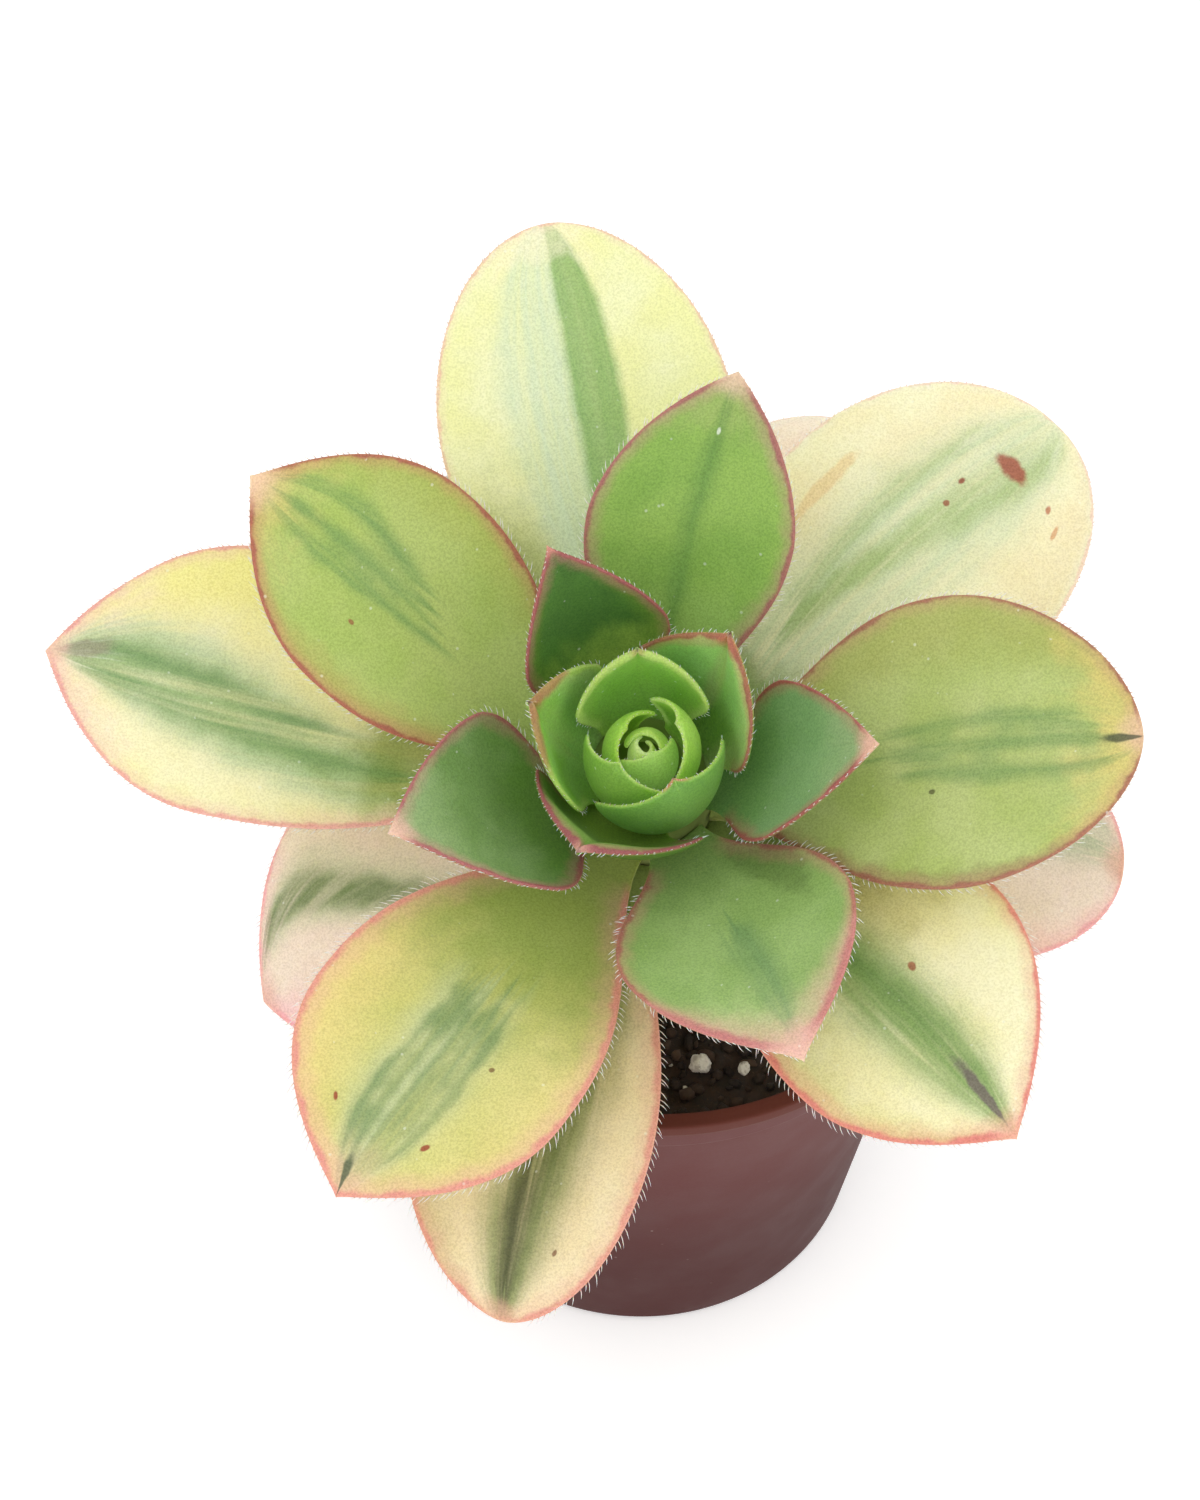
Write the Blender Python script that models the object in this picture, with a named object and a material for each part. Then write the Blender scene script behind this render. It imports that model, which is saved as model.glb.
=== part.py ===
# A rosette succulent in a small plastic nursery pot. Lengths are in metres and angles in degrees.
# +Z is up, the origin is the centre of the pot's underside, and the plant leans towards -Y, its front.

import math
import random
from collections import namedtuple

import bmesh
import bpy
import numpy as np
from mathutils import Vector

MM = 0.001

# Clearance left between pieces that touch on the real object, and the sharpest turn shaded as smooth.
fit_gap = 0.3 * MM
smooth_angle = 40

# Pot: a tapered cup with a collar below a small outward lip.
pot_rim_diameter = 57 * MM
pot_base_diameter = 43 * MM
pot_height = 48 * MM
pot_wall = 1.0 * MM
pot_floor = 1.2 * MM
foot_chamfer = 0.8 * MM
collar_height = 5.0 * MM
collar_step = 0.5 * MM
lip_height = 1.5 * MM
lip_step = 0.6 * MM
lip_round = 0.3 * MM
drain_hole_diameter = 4.0 * MM
drain_circle_diameter = 27 * MM
drain_hole_count = 5
drain_hole_segments = 24
pot_segments = 64

# Soil and the perlite lumps lying on it.
soil_drop = 4.0 * MM
soil_crown = 1.0 * MM
soil_rings = 5
perlite_size = 2.6 * MM
perlite_stretch = (0.8, 1.1)
perlite_dents = (0.86, 1.0)
perlite_flatness = 0.75
perlite_gap = 1.5 * fit_gap

# Leaves. Every spacing along the stem follows the leaf thickness, so thicker leaves sit further apart.
leaf_thickness = 1.9 * MM
leaf_size = 1.0
leaf_steps = 12
leaf_strips = 6
path_steps = 400

# How thick a leaf is: its blade against its foot, its edge and its tip, the share of its length where
# each begins, the fullness of its cross-section, and how many leaves it takes to reach full thickness.
blade_share = 0.6
blade_start = 0.5
edge_share = 0.17
tip_share = 0.5
tip_start = 0.9
cross_power = 0.75
young_share = 0.27
thickening_leaves = 11

# A leaf's outline: how full its shoulder is, and the width of its foot against its widest place, which
# is broad in the wrapped bud and then falls ever faster from leaf to leaf.
shoulder_power = 1.5
bud_foot_share = 0.60
foot_share_fall = 0.006
least_foot_share = 0.24

# Stem: its growing point, the wrapped bud at its top, and the bare length down into the soil.
bud_leaf_count = 7
bud_core_radius = 0.5 * MM
bud_step = 0.316 * leaf_thickness
young_spacing = 0.242 * leaf_thickness
young_leaf_count = 9
old_spacing = 0.316 * leaf_thickness
stem_gain = 1.6 * MM
stem_gain_leaves = 5
stem_foot_radius = 4.6 * MM
stem_rise = 31.5 * MM
stem_depth = 12 * MM
stem_end_share = 0.6
stem_flare = 1.6
stem_ring_leaves = (0, 2, 4, 6, 7, 9, 12, 16, 20, 24, 28)
bare_ring_count = 9
stem_segments = 20
apex_offset = (-1.6 * MM, -7.0 * MM)
foot_offset = (0.6 * MM, 2.4 * MM)
lean_front = 17
lean_left = 3

# One row for each leaf, youngest first. direction is measured round the stem from +X, length and
# width are in millimetres, the three slopes are at the base, halfway and at the tip, widest is the
# share of the length where the leaf is broadest, fullness and point shape the outline from there to
# the tip, and curve swings the tip sideways.
Leaf = namedtuple("Leaf", "direction length width base_slope mid_slope tip_slope widest fullness point curve")
LEAVES = [
    Leaf(357, 1.9, 1.6, 88, 92, 104, 0.64, 2, 1, 0),
    Leaf(217, 3, 3.6, 84, 98, 126, 0.6, 2, 1, 0),
    Leaf(77, 4.2, 5.6, 80, 104, 136, 0.55, 1.6, 1, 0),
    Leaf(297, 5.4, 7, 76, 104, 134, 0.5, 1.5, 1, 0),
    Leaf(157, 6.8, 8.6, 72, 103, 130, 0.5, 1.4, 1, 0),
    Leaf(17, 8.8, 10.2, 66, 98, 122, 0.5, 1.4, 1, 0),
    Leaf(237, 9.6, 11.8, 62, 99, 120, 0.5, 1.4, 1, 0),
    Leaf(97, 12.6, 14, 62, 95, 90, 0.5, 1.4, 1, 0),
    Leaf(300, 11.8, 15.5, 56, 98, 108, 0.5, 1.4, 1, 0),
    Leaf(174, 14.8, 15.2, 49, 95, 70, 0.5, 1.4, 1.05, 0),
    Leaf(44, 15.5, 16.5, 46, 95, 68, 0.48, 1.3, 1, 4),
    Leaf(249, 16, 18.2, 40, 92, 72, 0.5, 1.3, 1, -2),
    Leaf(117, 22.3, 15, 38, 82, 62, 0.5, 1.4, 1.3, 5),
    Leaf(356.5, 22, 16, 34, 68, 44, 0.5, 1.4, 1.1, -1.5),
    Leaf(205.5, 25, 19.5, 31, 66, 34, 0.5, 1.4, 1.1, 2.5),
    Leaf(82.3, 33.5, 19.5, 28, 59, 34, 0.6, 1.8, 1, -5.3),
    Leaf(298, 30.5, 22.8, 25, 50, 10, 0.6, 2, 1.4, -1),
    Leaf(150.7, 40, 23, 22, 46, 16, 0.62, 2.6, 1.2, -1.7),
    Leaf(4.7, 40, 28, 20, 40, 4, 0.64, 2, 0.6, -2.7),
    Leaf(239, 43.5, 26, 18, 33, -8, 0.64, 3, 1.2, 0),
    Leaf(101.3, 46.5, 27.5, 16, 32, 10, 0.64, 2, 0.55, 1.7),
    Leaf(322.5, 41, 26.5, 14, 23, -12, 0.62, 2.6, 1.2, -6.5),
    Leaf(166.8, 50, 26.5, 12, 16, -4, 0.64, 2.8, 1.1, 3.2),
    Leaf(45.5, 44.8, 30, 10, 14, -6, 0.64, 2, 0.45, 0),
    Leaf(250.5, 43.5, 23, 8, 8, -26, 0.62, 2, 0.6, 6.5),
    Leaf(121, 36, 24, 5, 2, -44, 0.64, 2, 0.7, 0),
    Leaf(356, 37.5, 23.5, 3, 2, -24, 0.64, 2, 0.5, 0),
    Leaf(199, 34.8, 30, 1, -2, -46, 0.62, 2.4, 1, 7),
    Leaf(68, 40.5, 22, -1, -6, -28, 0.64, 2, 0.6, 0),
]

# Perlite lumps: where each lies, as shares of the soil's radius to the right and to the back, and
# its size against perlite_size.
PERLITE = [
    (0.19, -0.76, 1.00),
    (0.27, -0.60, 0.85),
    (0.13, -0.58, 0.60),
    (0.34, -0.76, 0.55),
    (-0.34, 0.66, 0.90),
    (0.62, 0.40, 0.70),
]


def clear_scene():
    for obj in list(bpy.data.objects):
        bpy.data.objects.remove(obj)


def make_material(name, colour, roughness):
    material = bpy.data.materials.new(name)
    material.use_nodes = True
    shader = material.node_tree.nodes["Principled BSDF"]
    shader.inputs["Base Color"].default_value = (*colour, 1.0)
    shader.inputs["Roughness"].default_value = roughness
    shader.inputs["Metallic"].default_value = 0.0
    return material


def add_object(name, points, faces, material=None):
    """Makes one closed mesh with its faces outward, and links it to the scene."""
    mesh = bpy.data.meshes.new(name)
    mesh.from_pydata([tuple(point) for point in points], [], faces)
    body = bmesh.new()
    body.from_mesh(mesh)
    bmesh.ops.recalc_face_normals(body, faces=body.faces)
    body.to_mesh(mesh)
    body.free()
    return link_smooth(mesh, material)


def link_smooth(mesh, material):
    """Puts the mesh in the scene under its own name, smooth except at its real corners."""
    mesh.shade_smooth()
    mesh.set_sharp_from_angle(angle=math.radians(smooth_angle))
    if material:
        mesh.materials.append(material)
    obj = bpy.data.objects.new(mesh.name, mesh)
    bpy.context.collection.objects.link(obj)
    return obj


def cut_with(obj, cutter):
    """Takes the cutter's shape out of obj, and keeps the cutter as a hidden helper."""
    cutter.hide_render = True
    cutter.display_type = "WIRE"
    modifier = obj.modifiers.new(cutter.name, "BOOLEAN")
    modifier.operation = "DIFFERENCE"
    modifier.solver = "EXACT"
    modifier.object = cutter


def join_rings(rings):
    """Joins rings of equal length into a tube, with a fan to a middle point at each end."""
    count = len(rings[0])
    points = [point for ring in rings for point in ring]
    faces = []
    for first in range(0, (len(rings) - 1) * count, count):
        for i in range(count):
            after = (i + 1) % count
            faces.append((first + i, first + after, first + count + after, first + count + i))
    for first, ring in ((0, rings[0]), (len(points) - count, rings[-1])):
        middle = len(points)
        points.append(sum((Vector(point) for point in ring), Vector()) / count)
        faces.extend((first + i, first + (i + 1) % count, middle) for i in range(count))
    return points, faces


def circle(centre, axis, radius, segments):
    """A ring of points about axis."""
    across = Vector((1, 0, 0)) - axis * axis.x
    across.normalize()
    along = axis.cross(across)
    angles = [2 * math.pi * i / segments for i in range(segments)]
    return [centre + radius * (math.cos(a) * across + math.sin(a) * along) for a in angles]


def revolve(profile, segments):
    """Turns (radius, height) pairs about the Z axis and closes both ends at their middles."""
    up = Vector((0, 0, 1))
    rings = [circle(Vector((0, 0, z)), up, radius, segments) for radius, z in profile]
    return join_rings(rings)


# Pot

rim_radius = pot_rim_diameter / 2
collar_radius = rim_radius - lip_step
collar_bottom = pot_height - collar_height
body_top_radius = collar_radius - 2 * collar_step
soil_level = pot_height - soil_drop


def pot_outside():
    base_radius = pot_base_diameter / 2
    return [
        (base_radius - foot_chamfer, 0),
        (base_radius, foot_chamfer),
        (body_top_radius, collar_bottom - collar_step),
        (body_top_radius + collar_step, collar_bottom),
        (collar_radius, pot_height - lip_height - lip_step),
        (rim_radius, pot_height - lip_height),
        (rim_radius, pot_height - lip_round),
        (rim_radius - lip_round, pot_height),
    ]


def pot_inside():
    """The cavity's profile from the top edge down to the floor."""
    base_radius = pot_base_diameter / 2
    return [
        (collar_radius - pot_wall + lip_round, pot_height),
        (collar_radius - pot_wall, pot_height - lip_round),
        (body_top_radius + collar_step - pot_wall, collar_bottom),
        (body_top_radius - pot_wall, collar_bottom - collar_step),
        (base_radius - pot_wall, pot_floor),
    ]


def inside_radius(height):
    wall = pot_inside()[::-1]
    return float(np.interp(height, [z for _, z in wall], [radius for radius, _ in wall]))


def build_pot():
    plastic = make_material("pot_plastic", (0.205, 0.098, 0.095), 0.45)
    points, faces = revolve(pot_outside() + pot_inside(), pot_segments)
    pot = add_object("pot", points, faces, plastic)
    points, faces = [], []
    for i in range(drain_hole_count):
        angle = 2 * math.pi * (i + 0.5) / drain_hole_count
        centre = Vector((math.cos(angle), math.sin(angle), 0)) * drain_circle_diameter / 2
        ends = (centre - Vector((0, 0, pot_floor)), centre + Vector((0, 0, 2 * pot_floor)))
        up = Vector((0, 0, 1))
        hole_points, hole_faces = join_rings(
            [circle(end, up, drain_hole_diameter / 2, drain_hole_segments) for end in ends]
        )
        faces += [tuple(index + len(points) for index in face) for face in hole_faces]
        points += hole_points
    cut_with(pot, add_object("drain_hole_cutter", points, faces))


# Rosette

def lean_axis():
    """The direction in which the stem's leafy top points."""
    left = math.sin(math.radians(lean_left))
    front = math.sin(math.radians(lean_front))
    return Vector((-left, -front, math.sqrt(1 - left**2 - front**2)))


def rosette_frame():
    """The apex, and rows that turn rosette coordinates into the part's own."""
    axis = lean_axis()
    across = (Vector((1, 0, 0)) - axis * axis.x).normalized()
    apex = Vector((*apex_offset, soil_level + stem_rise * leaf_size))
    return apex, np.array([across, axis.cross(across), axis])


def leaf_seat(order):
    """Where leaf number order leaves the stem: its distance from the axis and its height."""
    old = max(0, order - bud_leaf_count)
    radius = bud_core_radius + bud_step * min(order, bud_leaf_count)
    radius += stem_gain * (1 - math.exp(-old / stem_gain_leaves))
    height = -young_spacing * min(order, young_leaf_count)
    height -= old_spacing * max(0, order - young_leaf_count)
    return radius, height


def base_thickness(order):
    grown = 1 - math.exp(-order / thickening_leaves)
    return leaf_thickness * (young_share + (1 - young_share) * grown)


def base_width_share(order):
    """How wide the leaf's foot is against its widest place: bud leaves wrap, old ones are narrow."""
    if order < bud_leaf_count:
        return bud_foot_share
    return max(least_foot_share, bud_foot_share - foot_share_fall * (order - bud_leaf_count + 1) ** 2)


def leaf_outline(order, leaf, share):
    """Half the leaf's width at each share of its length."""
    foot = base_width_share(order)
    rising = np.clip(share / leaf.widest, 0, 1)
    closing = np.clip((share - leaf.widest) / (1 - leaf.widest), 0, 1)
    lower = foot + (1 - foot) * np.sin(rising * math.pi / 2) ** shoulder_power
    upper = (1 - closing**leaf.fullness) ** leaf.point
    return leaf.width * MM * leaf_size / 2 * np.where(share < leaf.widest, lower, upper)


def midline(order, leaf, share):
    """Distance from the axis, height and slope along the leaf's middle.

    The slope runs from base_slope to tip_slope with mid_slope pulling it between them, and the
    path is that slope added up along the leaf's length.
    """
    fine = np.linspace(0, 1, path_steps + 1)
    slope = leaf.base_slope * (1 - fine) ** 2 + 2 * leaf.mid_slope * fine * (1 - fine)
    slope = np.radians(slope + leaf.tip_slope * fine**2)
    step = leaf.length * MM * leaf_size * fine[1]
    out, up = np.cos(slope), np.sin(slope)
    seat_radius, seat_height = leaf_seat(order)
    radius = seat_radius + step * np.concatenate([[0], np.cumsum((out[1:] + out[:-1]) / 2)])
    height = seat_height + step * np.concatenate([[0], np.cumsum((up[1:] + up[:-1]) / 2)])
    return [np.interp(share, fine, values) for values in (radius, height, slope)]


def leaf_skin(order, leaf, depth):
    """One face of a leaf as a grid of points: depth 0 is the upper face and 1 the lower.

    The blade wraps round the axis at its own distance, so leaves of neighbouring directions nest
    like the shells of an onion and never cross.
    """
    share = np.linspace(0, 1, leaf_steps + 1)
    across = np.linspace(-1, 1, leaf_strips + 1)[None, :]
    radius, height, slope = (values[:, None] for values in midline(order, leaf, share))
    side = leaf_outline(order, leaf, share)[:, None] * across
    base = base_thickness(order)
    thick = base * (1 + (blade_share - 1) * np.clip(share / blade_start, 0, 1))
    thick = thick * (1 - (1 - tip_share) * np.clip((share - tip_start) / (1 - tip_start), 0, 1))
    edge = leaf_thickness * edge_share
    thick = edge + (thick[:, None] - edge) * (1 - across**2) ** cross_power
    angle = np.radians(leaf.direction + leaf.curve * share[:, None] ** 2) + side / radius
    out = radius + depth * thick * np.sin(slope)
    up = height - depth * thick * np.cos(slope)
    return np.stack([out * np.cos(angle), out * np.sin(angle), up + 0 * angle], axis=-1)


def build_leaf(order, leaf):
    """The upper and lower faces joined round their shared outline, with the tip brought to an edge."""
    apex, frame = rosette_frame()
    skins = [leaf_skin(order, leaf, depth) for depth in (0, 1)]
    rows, columns = skins[0].shape[:2]
    grid = np.arange(rows * columns).reshape(rows, columns)
    grid[-1, :] = grid[-1, columns // 2]
    upper, lower = grid.tolist(), (grid + rows * columns).tolist()
    faces = []
    for i in range(rows - 1):
        for j in range(columns - 1):
            faces.append((upper[i][j], upper[i + 1][j], upper[i + 1][j + 1], upper[i][j + 1]))
            faces.append((lower[i][j], lower[i][j + 1], lower[i + 1][j + 1], lower[i + 1][j]))
        for j in (0, columns - 1):
            faces.append((upper[i][j], lower[i][j], lower[i + 1][j], upper[i + 1][j]))
    for j in range(columns - 1):
        faces.append((upper[0][j], upper[0][j + 1], lower[0][j + 1], lower[0][j]))
    faces = [tuple(dict.fromkeys(face)) for face in faces]
    used = sorted({index for face in faces for index in face})
    place = {index: i for i, index in enumerate(used)}
    points = np.concatenate([skin.reshape(-1, 3) for skin in skins])[used] @ frame + np.array(apex)
    faces = [tuple(place[index] for index in face) for face in faces]
    age = order / (len(LEAVES) - 1)
    colour = (0.22 + 0.48 * age, 0.42 + 0.18 * age, 0.12 + 0.22 * age)
    add_object(f"leaf_{order + 1:02d}", points, faces, make_material(f"leaf_{order + 1:02d}", colour, 0.5))


# Stem

def stem_rings(clearance):
    """Rings down the stem: a cone inside the bud, a column that carries the leaves, and the bare foot."""
    apex, _ = rosette_frame()
    axis = lean_axis()
    last = stem_ring_leaves[-1]
    rings = []
    for order in stem_ring_leaves:
        radius, height = leaf_seat(order)
        rings.append((apex + axis * height, axis, radius - fit_gap))
    top = apex + axis * (leaf_seat(last)[1] - leaf_thickness - 2 * fit_gap)
    foot = Vector((*foot_offset, soil_level - stem_depth))
    reach = (top - foot).length / 3
    bends = (top, top - axis * reach, foot + Vector((0, 0, reach)), foot)
    top_radius = leaf_seat(last)[0] - fit_gap
    for i in range(bare_ring_count):
        t = i / (bare_ring_count - 1)
        weights = ((1 - t) ** 3, 3 * t * (1 - t) ** 2, 3 * t**2 * (1 - t), t**3)
        centre = sum((bend * weight for bend, weight in zip(bends, weights)), Vector())
        rates = (-((1 - t) ** 2), (1 - t) ** 2 - 2 * t * (1 - t), 2 * t * (1 - t) - t**2, t**2)
        heading = -sum((bend * rate for bend, rate in zip(bends, rates)), Vector()).normalized()
        flare = (stem_foot_radius - top_radius) * min(1, stem_flare * t)
        rings.append((centre, heading, top_radius + flare))
    centre, heading, radius = rings[-1]
    end = radius * stem_end_share
    rings.append((centre - heading * (end + clearance), heading, end))
    return [circle(c, a, r + clearance, stem_segments) for c, a, r in rings]


def build_stem():
    bark = make_material("stem_bark", (0.24, 0.17, 0.09), 0.8)
    points, faces = join_rings(stem_rings(0))
    add_object("stem", points, faces, bark)


# Soil and perlite

def soil_radius():
    return inside_radius(soil_level) - fit_gap


def soil_height(distance):
    """The soil is crowned: highest in the middle and level with its edge at the pot's wall."""
    return soil_level + soil_crown * (1 - (distance / soil_radius()) ** 2)


def build_soil():
    earth = make_material("potting_soil", (0.035, 0.022, 0.015), 0.95)
    floor = pot_floor + fit_gap
    profile = [(inside_radius(floor) - fit_gap, floor)]
    for height in (collar_bottom - collar_step, collar_bottom):
        if height < soil_level:
            profile.append((inside_radius(height) - fit_gap, height))
    for i in range(soil_rings):
        distance = soil_radius() * (1 - i / soil_rings)
        profile.append((distance, soil_height(distance)))
    soil = add_object("soil", *revolve(profile, pot_segments), earth)
    socket = stem_rings(fit_gap)
    cut_with(soil, add_object("stem_socket_cutter", *join_rings(socket[-bare_ring_count:])))


def build_perlite():
    white = make_material("perlite", (0.72, 0.70, 0.66), 0.9)
    rng = random.Random(4)
    for number, (right, back, size) in enumerate(PERLITE, start=1):
        lump = bmesh.new()
        bmesh.ops.create_icosphere(lump, subdivisions=2, radius=0.5)
        stretch = Vector([size * perlite_size * rng.uniform(*perlite_stretch) for _ in range(3)])
        stretch.z *= perlite_flatness
        for vertex in lump.verts:
            vertex.co *= rng.uniform(*perlite_dents)
            vertex.co = Vector([a * b for a, b in zip(vertex.co, stretch)])
        x, y = right * soil_radius(), back * soil_radius()
        lowest = min(vertex.co.z for vertex in lump.verts)
        lift = soil_height(math.hypot(x, y)) + perlite_gap - lowest
        for vertex in lump.verts:
            vertex.co += Vector((x, y, lift))
        mesh = bpy.data.meshes.new(f"perlite_{number:02d}")
        lump.to_mesh(mesh)
        lump.free()
        link_smooth(mesh, white)


clear_scene()
build_pot()
build_soil()
build_stem()
build_perlite()
for leaf_order, leaf_row in enumerate(LEAVES):
    build_leaf(leaf_order, leaf_row)
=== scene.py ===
import math
from collections import namedtuple

import bpy
import numpy as np
from mathutils import Matrix, Vector


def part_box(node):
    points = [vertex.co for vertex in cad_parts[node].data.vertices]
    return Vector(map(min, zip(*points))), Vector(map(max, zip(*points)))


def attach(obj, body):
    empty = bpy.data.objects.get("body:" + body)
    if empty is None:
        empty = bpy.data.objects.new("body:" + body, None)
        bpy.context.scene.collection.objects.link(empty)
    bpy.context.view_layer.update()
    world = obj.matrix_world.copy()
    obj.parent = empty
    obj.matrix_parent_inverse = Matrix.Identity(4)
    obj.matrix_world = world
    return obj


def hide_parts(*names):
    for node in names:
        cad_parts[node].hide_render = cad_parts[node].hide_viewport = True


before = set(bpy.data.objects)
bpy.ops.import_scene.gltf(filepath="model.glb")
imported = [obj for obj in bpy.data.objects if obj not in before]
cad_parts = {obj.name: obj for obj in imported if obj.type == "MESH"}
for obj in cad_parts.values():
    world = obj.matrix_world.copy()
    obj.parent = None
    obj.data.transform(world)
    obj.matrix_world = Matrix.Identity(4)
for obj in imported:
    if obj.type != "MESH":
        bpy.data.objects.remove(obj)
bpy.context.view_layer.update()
mm = 0.001


# Small helpers for meshes

def addObject(name, data):
    # puts new mesh, light or camera data into the scene
    thing = bpy.data.objects.new(name, data)
    bpy.context.scene.collection.objects.link(thing)
    return thing


def addPiece(name, points, quads, triangles=None, replaces=None):
    # makes a closed mesh; the faces are turned over when their signed volume comes out negative
    faces = [np.asarray(part, int) for part in (quads, triangles) if part is not None and len(part)]
    volume = 0.0
    for part in faces:
        a = points[part[:, 0]]
        for i in range(1, part.shape[1] - 1):
            volume += np.einsum("ij,ij->", a, np.cross(points[part[:, i]], points[part[:, i + 1]]))
    if volume < 0:
        faces = [part[:, ::-1] for part in faces]
    mesh = bpy.data.meshes.new(name)
    mesh.from_pydata(points.tolist(), [], [face for part in faces for face in part.tolist()])
    mesh.shade_smooth()
    piece = addObject(name, mesh)
    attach(piece, "root")
    if replaces:
        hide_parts(replaces)
    return piece


def gridFaces(rows, columns):
    # quads between neighbouring rows of a grid whose columns run all the way round
    index = np.arange(rows * columns).reshape(rows, columns)
    after = np.roll(index, -1, axis=1)
    quads = np.stack([index[:-1], after[:-1], after[1:], index[1:]], axis=-1)
    return quads.reshape(-1, 4)


def fanFaces(ring, middle, flip):
    # triangles from one ring of points to a single middle point
    after = np.roll(ring, -1)
    ends = (after, ring) if flip else (ring, after)
    return np.stack([*ends, np.full(len(ring), middle)], axis=-1)


def closedTube(grid, middles=None):
    # a grid of rings becomes one closed tube: each end ring gets a fan to its own middle
    rows, columns = grid.shape[:2]
    if middles is None:
        middles = grid[[0, -1]].mean(axis=1)
    points = np.concatenate([grid.reshape(-1, 3), middles])
    count = rows * columns
    first, last = np.arange(columns), np.arange(count - columns, count)
    fans = np.concatenate([fanFaces(first, count, True), fanFaces(last, count + 1, False)])
    return points, gridFaces(rows, columns), fans


def setValues(piece, name, values, kind="FLOAT"):
    # stores one number, or one vector, for each point of the mesh
    attribute = piece.data.attributes.new(name, kind, "POINT")
    field = "vector" if kind == "FLOAT_VECTOR" else "value"
    attribute.data.foreach_set(field, np.ascontiguousarray(values, np.float32).ravel())


def unit(vectors):
    # each vector divided by its own length
    return vectors / np.linalg.norm(vectors, axis=-1, keepdims=True)


def onCircle(turn):
    # angles to points on a circle of radius one
    return np.stack([np.cos(turn), np.sin(turn)], axis=-1)


def fullTurn(count):
    # evenly spaced angles all the way round
    return np.linspace(0, 2 * np.pi, count, endpoint=False)


def runLength(line):
    # how far along a line of points each of them lies
    return np.concatenate([[0], np.cumsum(np.linalg.norm(np.diff(line, axis=0), axis=1))])


def waves(points, size, seed):
    # soft bumps between about -1 and 1: a sum of sine waves in seeded directions, size apart
    count = 14
    rng = np.random.default_rng(seed)
    heading = unit(rng.normal(size=(count, 3)))
    heading *= 2 * np.pi / size * rng.uniform(0.7, 1.5, (count, 1))
    phase = rng.uniform(0, 2 * np.pi, count)
    return np.sin(points @ heading.T + phase).sum(axis=-1) / math.sqrt(count)


# Small helpers for materials

def toLinear(colour):
    # screen colour, 0 to 255 each, to the linear colour a shader works in
    share = np.array(colour[:3]) / 255
    value = np.where(share <= 0.04045, share / 12.92, ((share + 0.055) / 1.055) ** 2.4)
    return (*value.tolist(), 1.0)


def startMaterial(name):
    # a new material, its node tree and its main shader
    material = bpy.data.materials.new(name)
    material.use_nodes = True
    tree = material.node_tree
    return material, tree, tree.nodes["Principled BSDF"]


def setSocket(tree, socket, value):
    # links one socket to another, or gives it a fixed value
    if isinstance(value, bpy.types.NodeSocket):
        tree.links.new(value, socket)
    else:
        socket.default_value = value


def addNode(tree, kind, inputs, **settings):
    # a node with its inputs either linked or set to a fixed value
    node = tree.nodes.new(kind)
    for key, value in settings.items():
        setattr(node, key, value)
    for key, value in inputs.items():
        setSocket(tree, node.inputs[key], value)
    return node


def calc(tree, operation, *values):
    # one sum on sockets or numbers
    return addNode(tree, "ShaderNodeMath", dict(enumerate(values)), operation=operation).outputs[0]


def times(tree, first, *others):
    # several masks multiplied together
    for other in others:
        first = calc(tree, "MULTIPLY", first, other)
    return first


def addShare(tree, shift, share, value):
    # value + share * shift
    return calc(tree, "MULTIPLY_ADD", shift, share, value)


def fade(tree, value, start, end, low=0.0, high=1.0):
    # smooth step from low at start to high at end
    inputs = {"Value": value, "From Min": start, "From Max": end, "To Min": low, "To Max": high}
    if start > end:
        inputs.update({"From Min": end, "From Max": start, "To Min": high, "To Max": low})
    return addNode(tree, "ShaderNodeMapRange", inputs, interpolation_type="SMOOTHSTEP").outputs[0]


def mixColour(tree, share, first, second, blend="MIX"):
    # the second colour over the first; either can be a socket or a screen colour
    node = addNode(tree, "ShaderNodeMix", {0: share}, data_type="RGBA", blend_type=blend)
    for key, value in ((6, first), (7, second)):
        colour = value if isinstance(value, bpy.types.NodeSocket) else toLinear(value)
        setSocket(tree, node.inputs[key], colour)
    return node.outputs[2]


def noise(tree, vector, scale, detail=2.0, roughness=0.5):
    # cloudy values around a half
    inputs = {"Vector": vector, "Scale": scale, "Detail": detail, "Roughness": roughness}
    return addNode(tree, "ShaderNodeTexNoise", inputs).outputs[0]


def evenNoise(tree, vector, scale, detail, roughness):
    # the same around zero
    return calc(tree, "SUBTRACT", noise(tree, vector, scale, detail, roughness), 0.5)


def scattered(tree, place, dotScale, cloudScale, size, amount, strength=1.0):
    # small dots of one size in a cell pattern, kept only where a slower noise is high
    dots = addNode(tree, "ShaderNodeTexVoronoi", {"Vector": place, "Scale": dotScale}).outputs["Distance"]
    few = fade(tree, noise(tree, place, cloudScale, 1.0), *amount)
    return times(tree, fade(tree, dots, *size, 0.0, strength), few)


def objectPlace(tree):
    # position in the object's own coordinates
    return addNode(tree, "ShaderNodeTexCoord", {}).outputs["Object"]


def readValue(tree, name, output="Fac"):
    # a value stored on the mesh points
    return addNode(tree, "ShaderNodeAttribute", {}, attribute_name=name).outputs[output]


def setFinish(tree, shader, colour, patches, smooth, rough):
    # the base colour, and a roughness that wanders between two values with a noise
    tree.links.new(colour, shader.inputs["Base Color"])
    tree.links.new(fade(tree, patches, 0.3, 0.7, smooth, rough), shader.inputs["Roughness"])


def addBump(tree, shader, height, strength, depth):
    # depth is in millimetres
    inputs = {"Height": height, "Strength": strength, "Distance": depth * mm}
    tree.links.new(addNode(tree, "ShaderNodeBump", inputs).outputs[0], shader.inputs["Normal"])


# Leaves: where each one sits and how it bends

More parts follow.
